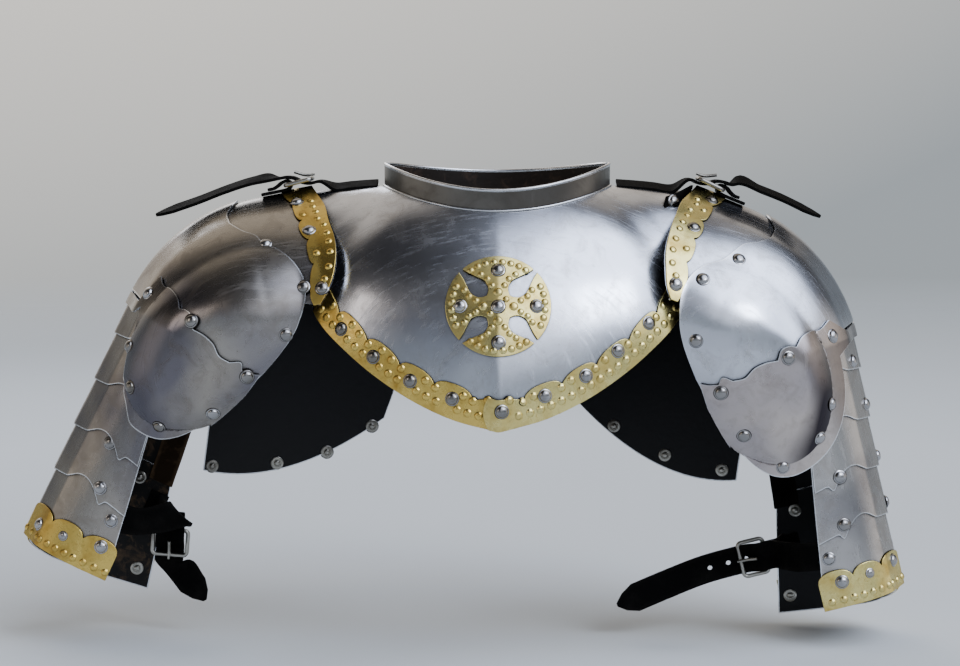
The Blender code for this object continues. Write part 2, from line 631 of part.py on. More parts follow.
def in_lame(side, run, inset, back):
    """A strap row lying against the inside of the last lame."""
    depth = (ARM_BACK_DEPTH if back else ARM_FRONT_DEPTH) - (len(LAME_ENDS) - 1) * LAYER - CLEARANCE - LEATHER / 2
    spot, inward = ridge_line(run * RIDGE_LENGTH)
    forward = Vector((-inward.y, inward.x)) * (STRAP_WIDTH / 2)
    spot = spot + inward * (inset * ARM_REACH)
    low, high = [hang(side, Vector((place.x, depth if back else -depth, place.y)))
                 for place in (spot + forward, spot - forward)]
    return (low + high) / 2, (high - low) / 2


def arm_buckle(side):
    """Strap from inside the last lame's front edge, buckled to a tab inside its back edge."""
    turn = side["arm_turn"]
    along = Vector((side["sign"] * math.cos(turn), 0.0, math.sin(turn)))
    across_turn = turn - math.radians(90 if side["sign"] > 0 else 270)
    wide = Vector((side["sign"] * math.cos(across_turn), 0.0, math.sin(across_turn)))
    x, y, z = side["arm_buckle"]
    free_bar = Vector((side["sign"] * x, y, z)) + along * (BUCKLE_LENGTH - BUCKLE_WIRE) / 2

    def place(run, height, across):
        return free_bar - along * run + Vector((0.0, -height, 0.0)) + wide * across

    lead = [in_lame(side, side["strap_run"], inset, False) for inset in STRAP_INSETS]
    lead += [world_row(side, *row) for row in side["arm_lead"]]
    trail = [world_row(side, *row) for row in side["arm_free"]]
    trail[-1] = (trail[-1][0], trail[-1][1] * TIP_SHARE)
    tab_tail = [world_row(side, *row) for row in side["arm_tab"]]
    tab_tail += [in_lame(side, side["tab_run"], inset, True) for inset in TAB_INSETS]
    buckle(side["name"] + "_arm", place, LEATHER / 2, LEATHER / 2, list(reversed(trail)),
           list(reversed(lead)), tab_tail)


def gorget_height(x):
    """Height of the gorget over the shoulder, at y = 0."""
    spots = [gorget_point(-1.0, i / 10) for i in range(11)]
    return at([(spot.x, spot.z) for spot in spots], x)


def lame_strap(side):
    """Leather inside the back of the lames, stepping in with each of them."""
    rows = []
    tops = [end - LAME_LAP for end in LAME_ENDS[:-1]]
    steps = [(tops[0] + 0.012, 1)]
    for number, top in enumerate(tops[1:], start=2):
        steps += [(top - 0.012, number - 1), (top - 0.002, number)]
    steps.append((tops[-1] + 0.030, len(tops)))
    for run, number in steps:
        share = (run - steps[0][0]) / (steps[-1][0] - steps[0][0])
        inset = ARM_REACH * (1.15 + 0.22 * share)
        depth = ARM_BACK_DEPTH - number * LAYER - CLEARANCE - LEATHER / 2
        spot, inward = ridge_line(run * RIDGE_LENGTH)
        inner, outer = [hang(side, Vector((place.x, depth, place.y)))
                        for place in (spot + inward * (inset + w * LAME_STRAP_WIDTH / 2) for w in (1, -1))]
        rows.append(((inner + outer) / 2, (outer - inner) / 2))
    ribbon(side["name"] + "_lame_strap", rows, LEATHER, leather)


# Gorget. A place on it is given by its angle round the neck and its share of the way out to the edge.


def gorget_point(degrees, out):
    mirrored = 1
    if degrees < -90:
        degrees, mirrored = -180 - degrees, -1
    angle = math.radians(degrees)
    front = degrees < 0
    dip = (NECK_FRONT_DROP if front else NECK_BACK_DROP) + NECK_SIDE_RISE
    neck = Vector((NECK_HALF_WIDTH * math.cos(angle), NECK_HALF_DEPTH * math.sin(angle),
                   NECK_SIDE_RISE - dip * math.sin(angle) ** 2))
    shares = [at([(row[0], row[k]) for row in GORGET_EDGE], degrees) for k in (1, 2, 3)]
    reach = GORGET_FRONT_REACH if front else GORGET_BACK_REACH
    drop = GORGET_FRONT_DROP if front else GORGET_BACK_DROP
    edge = Vector((shares[0] * GORGET_HALF_WIDTH, shares[1] * reach, shares[2] * drop))
    side_ways = Vector((-math.sin(angle), math.cos(angle), 0.0))
    outward = (edge - neck).cross(side_ways).normalized()
    swell = at(GORGET_SWELL, degrees) * GORGET_HALF_WIDTH * 4 * out * (1 - out)
    spot = neck.lerp(edge, out) + outward * swell
    return Vector((spot.x * mirrored, spot.y, spot.z))


def gorget_width(row, ends_at_middle):
    """A half row made whole: it starts on the middle line in front and ends on it behind."""
    other = [Vector((-point.x, point.y, point.z)) for point in reversed(row)]
    return row[:-1] + other if ends_at_middle else other[:-1] + row


def gorget_plates():
    lap = math.degrees(GORGET_LAP)
    front_turns = [-90, -82, -74, -66, -58, -50, -43, -37, -32, -27, -20, -11, -4, lap]
    back_turns = [-lap, 4, 12, 20, 28, 36, 47, 58, 70, 80, 90]
    front = [gorget_width([gorget_point(turn, j / 7) for turn in front_turns], False) for j in range(8)]
    back = [gorget_width([gorget_point(turn, j / 6) for turn in back_turns], True) for j in range(7)]
    sheet("front_plate", front, STEEL, steel)
    sheet("back_plate", back, STEEL, steel, lift=-LAYER)
    return front


def collar(name, start, end, inset):
    upper, lower = [], []
    for i in range(13):
        turn = start + (end - start) * i / 12
        angle = math.radians(turn)
        rise = at(((-90, COLLAR_FRONT_HEIGHT), (0, COLLAR_SIDE_HEIGHT), (90, COLLAR_BACK_HEIGHT)), turn)
        x, y = math.cos(angle) * (NECK_HALF_WIDTH - inset), math.sin(angle) * (NECK_HALF_DEPTH - inset)
        base = gorget_point(turn, 0.0).z
        upper.append(Vector((x, y, base + rise)))
        lower.append(Vector((x, y, base - STEEL)))
    behind = end == 90
    sheet(name, [gorget_width(upper, behind), gorget_width(lower, behind)], STEEL, dark_steel)


def collars():
    lap = math.degrees(GORGET_LAP)
    collar("front_collar", -90, lap, FIT + STEEL)
    collar("back_collar", -lap, 90, FIT + STEEL + LAYER)


def turn_at(half_width_share):
    """Angle round the neck where the gorget's lower edge lies this far from the centre."""
    rows = [(row[1], row[0]) for row in GORGET_EDGE if row[0] <= -32]
    if half_width_share >= 0:
        return at(rows, half_width_share)
    return -180 - at(rows, -half_width_share)


def lower_borders():
    """Two brass strips that meet on the keel, the left one over the right one's end."""
    for name, sign, start in (("left_lower_border", 1, -0.05), ("right_lower_border", -1, 0.0)):
        rows = [[], [], []]
        lifts = []
        for share, height in BORDER_SCALLOPS:
            if share < start:
                continue
            turn = turn_at(share)
            length = (gorget_point(turn, 1.0) - gorget_point(turn, 0.0)).length
            width = height * BORDER_WIDTH / length
            for k, row in enumerate(rows):
                point = gorget_point(turn, 1.0 - width * (1 - k / 2))
                row.append(Vector((sign * point.x, point.y, point.z)))
            lifts.append((BRASS + FIT) * (1 - ramp(0.035, 0.113, share)) if sign > 0 else 0.0)
        sheet(name, rows, BRASS, brass, lift=LAYER, flip=sign < 0, lifts=lifts)


def cross_badge(front_rows):
    """A round badge cut as a cross with four spreading arms, laid over the keel."""
    spots = [point for row in front_rows for point in row]
    wide = len(front_rows[0])
    faces = [(j * wide + i, (j + 1) * wide + i, (j + 1) * wide + i + 1, j * wide + i + 1)
             for j in range(len(front_rows) - 1) for i in range(wide - 1)]
    tree = BVHTree.FromPolygons(spots, faces)

    def on_plate(radius, angle):
        x, z = radius * math.sin(angle), -BADGE_DROP + radius * math.cos(angle) * math.cos(BADGE_LEAN)
        return tree.ray_cast(Vector((x, -1.0, z)), Vector((0.0, 1.0, 0.0)))[0]

    mesh_tool = bmesh.new()
    middle = mesh_tool.verts.new(on_plate(0.0, 0.0))
    columns = 4
    for arm in range(4):
        rows = []
        for share, half_angle in BADGE_ARM:
            row = []
            for i in range(columns + 1):
                angle = math.radians(90 * arm + half_angle * (1 - 2 * i / columns))
                row.append(mesh_tool.verts.new(on_plate(share * BADGE_RADIUS, angle)))
            rows.append(row)
        for i in range(columns):
            mesh_tool.faces.new((middle, rows[0][i], rows[0][i + 1]))
        for inner, outer in zip(rows, rows[1:]):
            for i in range(columns):
                mesh_tool.faces.new((inner[i], outer[i], outer[i + 1], inner[i + 1]))
    bmesh.ops.remove_doubles(mesh_tool, verts=mesh_tool.verts[:], dist=0.00005)
    raise_off(mesh_tool, {vert: LAYER for vert in mesh_tool.verts})
    solid("cross_badge", mesh_tool, BRASS, brass)


def main():
    clear_scene()
    front_rows = gorget_plates()
    collars()
    lower_borders()
    cross_badge(front_rows)
    for side in SIDES:
        neck_plate(side)
        neck_border(side)
        cap_plate(side)
        wing_plate(side)
        for number in range(len(LAME_ENDS)):
            lame(side, number)
        cuff_border(side)
        shoulder_buckle(side)
        lame_strap(side)
        arm_buckle(side)


NECK_TURN = Vector((-math.sin(RIDGE_NECK_SLOPE), -math.cos(RIDGE_NECK_SLOPE)))
BEND_CENTRE = (Vector((math.cos(RIDGE_NECK_SLOPE), -math.sin(RIDGE_NECK_SLOPE))) * RIDGE_NECK_RUN
               + NECK_TURN * RIDGE_BEND_RADIUS)
BEND_END = RIDGE_NECK_RUN + RIDGE_BEND_RADIUS * RIDGE_BEND

parts = bpy.data.collections.new("gorget_with_pauldrons")
bpy.context.scene.collection.children.link(parts)
steel = make_material("polished_steel", (0.60, 0.62, 0.66), 0.22, 1.0)
dark_steel = make_material("collar_steel", (0.30, 0.29, 0.28), 0.35, 1.0)
brass = make_material("brass", (0.72, 0.56, 0.20), 0.30, 1.0)
leather = make_material("black_leather", (0.02, 0.02, 0.02), 0.55, 0.0)
main()
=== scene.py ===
# Gorget with a pair of pauldrons: polished steel, brass borders, black straps
import math

import bmesh
import bpy
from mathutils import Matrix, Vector
from mathutils.bvhtree import BVHTree


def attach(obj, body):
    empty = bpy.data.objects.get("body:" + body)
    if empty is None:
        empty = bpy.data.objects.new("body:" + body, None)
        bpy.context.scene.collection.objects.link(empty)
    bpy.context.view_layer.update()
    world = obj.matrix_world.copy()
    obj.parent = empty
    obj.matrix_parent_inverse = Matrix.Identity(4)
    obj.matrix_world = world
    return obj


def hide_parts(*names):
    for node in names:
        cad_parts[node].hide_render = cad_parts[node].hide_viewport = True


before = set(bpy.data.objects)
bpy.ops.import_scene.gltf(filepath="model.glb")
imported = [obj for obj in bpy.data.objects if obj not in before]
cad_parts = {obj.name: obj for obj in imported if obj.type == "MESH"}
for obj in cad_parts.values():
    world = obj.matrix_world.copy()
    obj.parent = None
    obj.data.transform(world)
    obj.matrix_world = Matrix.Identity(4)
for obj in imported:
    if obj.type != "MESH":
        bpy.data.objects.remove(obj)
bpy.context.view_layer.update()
print("frame loaded:", len(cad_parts), "solids")

# sheet and leather thicknesses and the gaps between layers
stock = {"steel": 0.0012, "brass": 0.0010, "leather": 0.0022, "fit": 0.0005, "clearance": 0.00035}
layer = stock["steel"] + stock["fit"]


# materials
def hexColour(text):
    values = [int(text[i:i + 2], 16) / 255 for i in (1, 3, 5)]
    return [v / 12.92 if v <= 0.04045 else ((v + 0.055) / 1.055) ** 2.4 for v in values] + [1.0]


def addNode(tree, kind, settings):
    # a socket among the settings is linked, anything else is set
    node = tree.nodes.new(kind)
    for key, value in settings.items():
        if isinstance(key, str) and key not in node.inputs:
            setattr(node, key, value)
        elif isinstance(value, bpy.types.NodeSocket):
            tree.links.new(value, node.inputs[key])
        else:
            node.inputs[key].default_value = value
    return node


def startMaterial(name, settings):
    material = bpy.data.materials.new(name)
    material.use_nodes = True
    tree = material.node_tree
    shader = tree.nodes["Principled BSDF"]
    for key, value in settings.items():
        shader.inputs[key].default_value = value
    place = addNode(tree, "ShaderNodeTexCoord", {}).outputs["Object"]
    return material, tree, shader, place


def polishedSteel(name, base, patchReflectionAndTone, tarnish, roughness, aoShade=True, slopeShade=None):
    # mild steel sheet, raised with a hammer and polished by hand: soft wavy reflections, hazy patches, fine
    # scratches, broad duller clouds that are partly uneven tone and partly painted reflections, and painted shade along
    # the laps and round the rivets
    material, tree, shader, place = startMaterial(name, {"Metallic": 1.0, "Roughness": roughness})
    patterns = []
    for sizeMm, detail, grain, twist, low, high in (
            (111.1, 3.0, 0.50, 0.5, 0.42, 0.60),        # clouds as broad as a hand
            (16.667, 6.0, 0.65, 0.6, 0.48, 0.80),       # haze the cloth left
            (4.1667, 6.0, 0.70, 0.0, 0.58, 0.78)):      # specks
        noise = addNode(tree, "ShaderNodeTexNoise", {"Vector": place, "Scale": 1000 / sizeMm, "Detail": detail,
                                                     "Roughness": grain, "Distortion": twist})
        patterns.append(addNode(tree, "ShaderNodeMapRange", {"Value": noise.outputs["Fac"], "From Min": low,
                                                             "From Max": high}).outputs["Result"])
    colour = hexColour(base)
    # the broad clouds mix toward the duller colour: painted reflections of a patchy room, and uneven tone
    for pattern, strength, shade in zip(patterns, (1.0, 0.6, 0.35), (patchReflectionAndTone, tarnish, "#4a443c")):
        share = addNode(tree, "ShaderNodeMath", {"operation": "MULTIPLY", 0: pattern, 1: strength}).outputs[0]
        colour = addNode(tree, "ShaderNodeMix", {"data_type": "RGBA", 0: share, 6: colour,
                                                 7: hexColour(shade)}).outputs[2]
    if slopeShade:
        # painted dark reflection: blue grey mixed in where the surface faces the given direction, on the lower outer
        # slope of the oval
        toward, shade, amount = slopeShade
        faces = addNode(tree, "ShaderNodeTexCoord", {}).outputs["Normal"]
        slope = addNode(tree, "ShaderNodeVectorMath", {"operation": "DOT_PRODUCT", 0: faces,
                                                       1: Vector(toward).normalized()}).outputs["Value"]
        share = addNode(tree, "ShaderNodeMapRange", {"Value": slope, "From Min": 0.72, "From Max": 0.90,
                                                     "To Max": amount}).outputs["Result"]
        colour = addNode(tree, "ShaderNodeMix", {"data_type": "RGBA", 0: share, 6: colour,
                                                 7: hexColour(shade)}).outputs[2]
    # painted shade: ambient occlusion turns the colour nearly black in the laps, in the gaps between plates and round
    # the rivets
    if aoShade:
        aoShadeMask = addNode(tree, "ShaderNodeAmbientOcclusion", {"samples": 8, "Distance": 0.007}).outputs["AO"]
        share = addNode(tree, "ShaderNodeMapRange", {"Value": aoShadeMask, "From Min": 0.42,
                                                     "From Max": 0.86}).outputs["Result"]
        colour = addNode(tree, "ShaderNodeMix", {"data_type": "RGBA", 0: share, 6: hexColour("#0f0d0b"),
                                                 7: colour}).outputs[2]
    tree.links.new(colour, shader.inputs["Base Color"])
    # two sets of fine lines from the polishing cloth, drawn a little coarse so that they show
    lines = []
    for turn, sizeMm in (((0.3, 0.9, 0.5), 1.613), ((1.1, 0.2, 2.2), 1.852)):
        drawn = addNode(tree, "ShaderNodeMapping", {"Vector": place, "Rotation": turn, "Scale": (0.06, 1.0, 0.06)})
        noise = addNode(tree, "ShaderNodeTexNoise", {"Vector": drawn.outputs["Vector"], "Scale": 1000 / sizeMm,
                                                     "Detail": 3.0, "Roughness": 0.7})
        lines.append(addNode(tree, "ShaderNodeMapRange", {"Value": noise.outputs["Fac"], "From Min": 0.56,
                                                          "From Max": 0.72}).outputs["Result"])
    scratches = addNode(tree, "ShaderNodeMath", {"operation": "MAXIMUM", 0: lines[0], 1: lines[1]}).outputs[0]
    for pattern, strength in ((patterns[1], 0.12), (scratches, 0.10)):
        roughness = addNode(tree, "ShaderNodeMath", {"operation": "MULTIPLY_ADD", 0: pattern, 1: strength,
                                                     2: roughness}).outputs[0]
    tree.links.new(roughness, shader.inputs["Roughness"])
    hammer = addNode(tree, "ShaderNodeTexNoise", {"Vector": place, "Scale": 1000 / 26.3, "Detail": 2.0,
                                                  "Roughness": 0.5})
    bump = addNode(tree, "ShaderNodeBump", {"Height": hammer.outputs["Fac"], "Strength": 0.16, "Distance": 0.0015})
    fine = addNode(tree, "ShaderNodeBump", {"Height": scratches, "Strength": 0.05, "Distance": 0.0002,
                                            "Normal": bump.outputs["Normal"]})
    tree.links.new(fine.outputs["Normal"], shader.inputs["Normal"])
    return material


def agedBrass(name, base, dark, roughness):
    # cut brass sheet, punched and polished: yellow where it is rubbed, brown where polish stays behind, and painted
    # shade, near black, in the corners
    material, tree, shader, place = startMaterial(name, {"Metallic": 1.0, "Roughness": roughness})
    patterns, colour = [], hexColour(base)
    for sizeMm, grain, twist, low, high, strength, shade in (
            (18.18, 0.6, 0.3, 0.44, 0.72, 1.0, dark), (2.381, 0.7, 0.0, 0.54, 0.78, 0.5, "#5a3d14")):
        noise = addNode(tree, "ShaderNodeTexNoise", {"Vector": place, "Scale": 1000 / sizeMm, "Detail": 5.0,
                                                     "Roughness": grain, "Distortion": twist})
        patterns.append(addNode(tree, "ShaderNodeMapRange", {"Value": noise.outputs["Fac"], "From Min": low,
                                                             "From Max": high}).outputs["Result"])
        share = addNode(tree, "ShaderNodeMath", {"operation": "MULTIPLY", 0: patterns[-1], 1: strength}).outputs[0]
        colour = addNode(tree, "ShaderNodeMix", {"data_type": "RGBA", 0: share, 6: colour,
                                                 7: hexColour(shade)}).outputs[2]
    # painted shade: ambient occlusion darkens the colour to near-black brown round the dots and along the laps
    aoShadeMask = addNode(tree, "ShaderNodeAmbientOcclusion", {"samples": 6, "Distance": 0.003}).outputs["AO"]
    share = addNode(tree, "ShaderNodeMapRange", {"Value": aoShadeMask, "From Min": 0.25, "From Max": 0.80})
    colour = addNode(tree, "ShaderNodeMix", {"data_type": "RGBA", 0: share.outputs["Result"],
                                             6: hexColour("#22170a"), 7: colour}).outputs[2]
    tree.links.new(colour, shader.inputs["Base Color"])
    rubbed = addNode(tree, "ShaderNodeMapRange", {"Value": patterns[0], "To Min": roughness,
                                                  "To Max": roughness + 0.18})
    tree.links.new(rubbed.outputs["Result"], shader.inputs["Roughness"])
    uneven = addNode(tree, "ShaderNodeTexNoise", {"Vector": place, "Scale": 1000 / 6.25, "Detail": 3.0,
                                                  "Roughness": 0.55})
    bump = addNode(tree, "ShaderNodeBump", {"Height": uneven.outputs["Fac"], "Strength": 0.15, "Distance": 0.0006})
    tree.links.new(bump.outputs["Normal"], shader.inputs["Normal"])
    return material


def blackedInside(name, base, rust, amount):
    # oil-blacked and lacquered inside of the sheet: nearly black, satin, rubbed brown in places
    material, tree, shader, place = startMaterial(name, {"Metallic": 0.0, "Roughness": 0.42, "Specular IOR Level": 0.2})
    noise = addNode(tree, "ShaderNodeTexNoise", {"Vector": place, "Scale": 1000 / 11.11, "Detail": 6.0,
                                                 "Roughness": 0.7, "Distortion": 0.8})
    patch = addNode(tree, "ShaderNodeMapRange", {"Value": noise.outputs["Fac"], "From Min": 0.70 - amount,
                                                 "From Max": 0.86 - amount * 0.5})
    colour = addNode(tree, "ShaderNodeMix", {"data_type": "RGBA", 0: patch.outputs["Result"], 6: hexColour(base),
                                             7: hexColour(rust)})
    tree.links.new(colour.outputs[2], shader.inputs["Base Color"])
    lacquer = addNode(tree, "ShaderNodeTexNoise", {"Vector": place, "Scale": 1000 / 3.333, "Detail": 4.0,
                                                   "Roughness": 0.55})
    bump = addNode(tree, "ShaderNodeBump", {"Height": lacquer.outputs["Fac"], "Strength": 0.3, "Distance": 0.0006})
    tree.links.new(bump.outputs["Normal"], shader.inputs["Normal"])
    return material


def strapLeather(name, base, worn, roughness, grainMm):
    # vegetable-tanned strap leather: pebbled grain, paler where it bends and along the cut edge
    material, tree, shader, place = startMaterial(name, {"Metallic": 0.0, "Roughness": roughness,
                                                         "Specular IOR Level": 0.015})
    noise = addNode(tree, "ShaderNodeTexNoise", {"Vector": place, "Scale": 1000 / 14.29, "Detail": 5.0,
                                                 "Roughness": 0.6})
    patch = addNode(tree, "ShaderNodeMapRange", {"Value": noise.outputs["Fac"], "From Min": 0.48,
                                                 "From Max": 0.80}).outputs["Result"]
    edge = addNode(tree, "ShaderNodeAttribute", {"attribute_name": "edgeWear"}).outputs["Fac"]
    faint = addNode(tree, "ShaderNodeMath", {"operation": "MULTIPLY", 0: edge, 1: 0.45}).outputs[0]
    colour = hexColour(base)
    for share in (patch, faint):
        colour = addNode(tree, "ShaderNodeMix", {"data_type": "RGBA", 0: share, 6: colour,
                                                 7: hexColour(worn)}).outputs[2]
    tree.links.new(colour, shader.inputs["Base Color"])
    rubbed = addNode(tree, "ShaderNodeMapRange", {"Value": patch, "To Min": roughness - 0.06,
                                                  "To Max": roughness + 0.14})
    tree.links.new(rubbed.outputs["Result"], shader.inputs["Roughness"])
    pebbles = addNode(tree, "ShaderNodeTexVoronoi", {"Vector": place, "Scale": 1000 / grainMm,
                                                     "feature": "SMOOTH_F1"})
    bump = addNode(tree, "ShaderNodeBump", {"Height": pebbles.outputs["Distance"], "Strength": 0.35,
                                            "Distance": 0.0004})
    tree.links.new(bump.outputs["Normal"], shader.inputs["Normal"])
    return material


# one steel in lit and shaded copies: the brighter ones for the gorget and the left pauldron, which face the key light,
# the darker warmer ones for the right pauldron as painted shade
steelBright = polishedSteel("steel_sheet_polished", "#d3d8e2", "#a7abb5", "#8a8580", 0.22)
steelShadedCopy = polishedSteel("steel_sheet_polished_painted_shade", "#a19d97", "#75737a", "#6d6459", 0.25)
steelWingLeft = polishedSteel("steel_sheet_buffed_wing", "#c2b9b4", "#979298", "#7d736a", 0.19,
                              slopeShade=((0.80, -0.45, -0.40), "#343036", 1.0))
steelWingShadedCopy = polishedSteel("steel_sheet_buffed_wing_painted_shade", "#98938c", "#6b6970", "#5e564c", 0.22,
                               slopeShade=((-0.80, -0.45, -0.40), "#4c4b54", 0.8))
steelLameLeft = polishedSteel("steel_sheet_buffed_lame", "#b6b4b3", "#87868a", "#776e64", 0.24)
steelLameShadedCopy = polishedSteel("steel_sheet_buffed_lame_painted_shade", "#9c9791", "#716f73", "#675f54", 0.26)
steelCollar = polishedSteel("steel_collar_darkened", "#77746f", "#55524e", "#453f39", 0.34)
# bright edge steel: rubbed wear, and a painted highlight along the plate edges
steelEdgeWornAndHighlit = polishedSteel("steel_edge_worn_and_painted_highlight", "#e2e5ea", "#c4c6ca", "#908c86", 0.24, False)
rivetSteel = polishedSteel("steel_rivet_set_by_hammer", "#a8a8aa", "#76736e", "#3f3933", 0.17, False)
buckleSteel = polishedSteel("steel_wire_nickelled", "#a9a79f", "#83807a", "#5d5850", 0.30, False)
# one brass in two copies: the pale one is a painted highlight, used on the left side, which faces the key light, and on
# the badge; the golden one is used on the right side
brassGold = agedBrass("brass_sheet_punched", "#dbbf68", "#a98538", 0.26)
brassHighlightCopy = agedBrass("brass_sheet_punched_painted_highlight", "#e3d58c", "#c0a456", 0.24)
blackInside = blackedInside("steel_inside_blacked", "#0c0c0f", "#1f1a17", 0.05)
rustyInside = blackedInside("steel_inside_blacked_rubbed", "#0d0c0c", "#5e4a34", 0.20)
collarInside = blackedInside("collar_inside_blacked", "#17110d", "#3a2c22", 0.18)
strapBlack = strapLeather("leather_strap_dyed_black", "#070707", "#131211", 0.70, 0.9)
suedeBrown = strapLeather("leather_suede_dark_brown", "#221a12", "#5a4836", 0.85, 0.6)
suedeBlack = strapLeather("leather_suede_black", "#0a0908", "#191715", 0.85, 0.6)
print("materials ready")


# shared maths of the plates
def at(rows, where):
    if where <= rows[0][0]:
        return rows[0][1]
    for (x0, y0), (x1, y1) in zip(rows, rows[1:]):
        if where <= x1:
            return y0 + (y1 - y0) * (where - x0) / (x1 - x0)
    return rows[-1][1]


def softAt(rows, where):
    # smooth curve through a table of pairs
    where = min(max(where, rows[0][0]), rows[-1][0])
    last = len(rows) - 1
    k = next((i for i in range(last) if where <= rows[i + 1][0]), last - 1)

    def slope(i):
        before, after = max(i - 1, 0), min(i + 1, last)
        return (rows[after][1] - rows[before][1]) / (rows[after][0] - rows[before][0])
    (x0, y0), (x1, y1) = rows[k], rows[k + 1]
    span = x1 - x0
    t = (where - x0) / span
    return (y0 * (1 + 2 * t) * (1 - t) ** 2 + slope(k) * span * t * (1 - t) ** 2
            + y1 * t * t * (3 - 2 * t) - slope(k + 1) * span * t * t * (1 - t))


def ramp(low, high, value):
    share = min(max((value - low) / (high - low), 0.0), 1.0)
    return share * share * (3 - 2 * share)


def smoothLine(points, steps, corners=(), spacing=None):
    # curve through the points, with a break of direction at each corner; steps points to each stretch
    last = len(points) - 1
    gaps = spacing or [max((points[i + 1] - points[i]).length, 1e-6) for i in range(last)]

    def heading(i, leaving):
        if i == 0 or (i in corners and leaving):
            return (points[i + 1] - points[i]) / gaps[i]
        if i == last or i in corners:
            return (points[i] - points[i - 1]) / gaps[i - 1]
        before, after = (points[i] - points[i - 1]) / gaps[i - 1], (points[i + 1] - points[i]) / gaps[i]
        return (before * gaps[i] + after * gaps[i - 1]) / (gaps[i] + gaps[i - 1])
    line = [points[0].copy()]
    for i in range(last):
        p0, p1 = points[i], points[i + 1]
        m0, m1 = heading(i, True) * gaps[i], heading(i + 1, False) * gaps[i]
        for k in range(1, steps[i] + 1):
            t = k / steps[i]
            line.append(p0 * ((1 + 2 * t) * (1 - t) ** 2) + m0 * (t * (1 - t) ** 2)
                        + p1 * (t * t * (3 - 2 * t)) - m1 * (t * t * (1 - t)))
    return line


def lobe(where, cusps, low):
    # round lobes between the cusps of a scalloped edge
    for a, b in zip(cusps, cusps[1:]):
        if where <= b:
            t = abs(2 * (where - a) / (b - a) - 1)
            return low + (1 - low) * max(1 - min(t, 1.0) ** 2.3, 0.0) ** 0.5
    return low


ridge = {"length": 0.337, "neckRun": 0.040, "bendRadius": 0.122, "neckSlope": math.radians(22.0),
         "bend": math.radians(54.1), "edge": 0.0015, "band": 0.0130}
section = {"neckReach": 0.095, "shoulderReach": 0.080, "armReach": 0.050, "capDepth": 0.076, "backExtra": 0.006,
           "armFront": 0.046, "armBack": 0.056}
oval = {"halfLength": 0.077, "inner": 0.037, "outer": 0.055, "domeHeight": 0.0115, "rim": 0.010}
neckTurn = Vector((-math.sin(ridge["neckSlope"]), -math.cos(ridge["neckSlope"])))
bendCentre = (Vector((math.cos(ridge["neckSlope"]), -math.sin(ridge["neckSlope"]))) * ridge["neckRun"]
              + neckTurn * ridge["bendRadius"])
bendEnd = ridge["neckRun"] + ridge["bendRadius"] * ridge["bend"]


def ridgeLine(run):
    turn = ridge["neckSlope"]
    if run >= ridge["neckRun"]:
        turn = min(turn + (run - ridge["neckRun"]) / ridge["bendRadius"], turn + ridge["bend"])
    inward = Vector((-math.sin(turn), -math.cos(turn)))
    forward = Vector((math.cos(turn), -math.sin(turn)))
    spot = bendCentre - ridge["bendRadius"] * inward
    if run < ridge["neckRun"]:
        spot += forward * (run - ridge["neckRun"])
    elif run > bendEnd:
        spot += forward * (run - bendEnd)
    return spot, inward


neckBase, neckInward = ridgeLine(0.0)
armBase, armInward = ridgeLine(bendEnd)


def ridgePlace(x, z):
    choices = []
    away = Vector((x, z)) - neckBase
    run = away.dot(Vector((-neckInward.y, neckInward.x)))
    if run <= ridge["neckRun"]:
        choices.append((away.dot(neckInward), run))
    away = Vector((x, z)) - armBase
    run = bendEnd + away.dot(Vector((-armInward.y, armInward.x)))
    if run >= bendEnd:
        choices.append((away.dot(armInward), run))
    arm = Vector((x, z)) - bendCentre
    turn = math.atan2(arm.x, arm.y) - ridge["neckSlope"]
    if 0 <= turn <= ridge["bend"]:
        choices.append((ridge["bendRadius"] - arm.length, ridge["neckRun"] + ridge["bendRadius"] * turn))
    if not choices:
        return bendEnd, ridge["bendRadius"]
    inset, run = min(choices, key=lambda choice: abs(choice[0]))
    return run, inset


def fromRidge(share, inset):
    spot, inward = ridgeLine(share * ridge["length"])
    return spot + inward * inset


def ovalAxes(side):
    lean = side["ovalLean"]
    along = Vector((math.sin(lean), -math.cos(lean)))
    return Vector(side["ovalTop"]) + along * oval["halfLength"], Vector((math.cos(lean), math.sin(lean))), along


def ovalSpot(side, across, along):
    middle, outward, downward = ovalAxes(side)
    return middle + outward * across + downward * along


def ovalPlace(side, x, z):
    middle, outward, downward = ovalAxes(side)
    away = Vector((x, z)) - middle
    return away.dot(outward), away.dot(downward)


def ovalEdge(side, turn):
    angle = math.radians(turn)
    power = 0.77 if turn > 0 else 1.0
    width = oval["inner"] if turn > 0 else oval["outer"]
    along = -math.copysign(abs(math.cos(angle)) ** power, math.cos(angle)) * oval["halfLength"]
    across = -math.copysign(abs(math.sin(angle)) ** power, math.sin(angle)) * width
    return ovalSpot(side, across, along)


def sectionDepth(x, z, full):
    run, inset = ridgePlace(x, z)
    reach = at(((0.0, section["neckReach"]), (0.18, section["shoulderReach"]), (0.46, section["armReach"])),
               run / ridge["length"])
    boxiness = at(((0.0, 1.15), (0.18, 1.6), (0.46, 2.2)), run / ridge["length"])

    def curve(where):
        share = min(max(where / reach, 0.0), 1.0)
        return full * (1 - (1 - share) ** 2) ** (1 / boxiness)
    edge, band = curve(ridge["edge"]), curve(ridge["band"])
    if inset < ridge["edge"]:
        return edge * max(inset, 0.0) / ridge["edge"]
    if inset < ridge["band"]:
        return edge + (band - edge) * (inset - ridge["edge"]) / (ridge["band"] - ridge["edge"])
    return curve(inset)


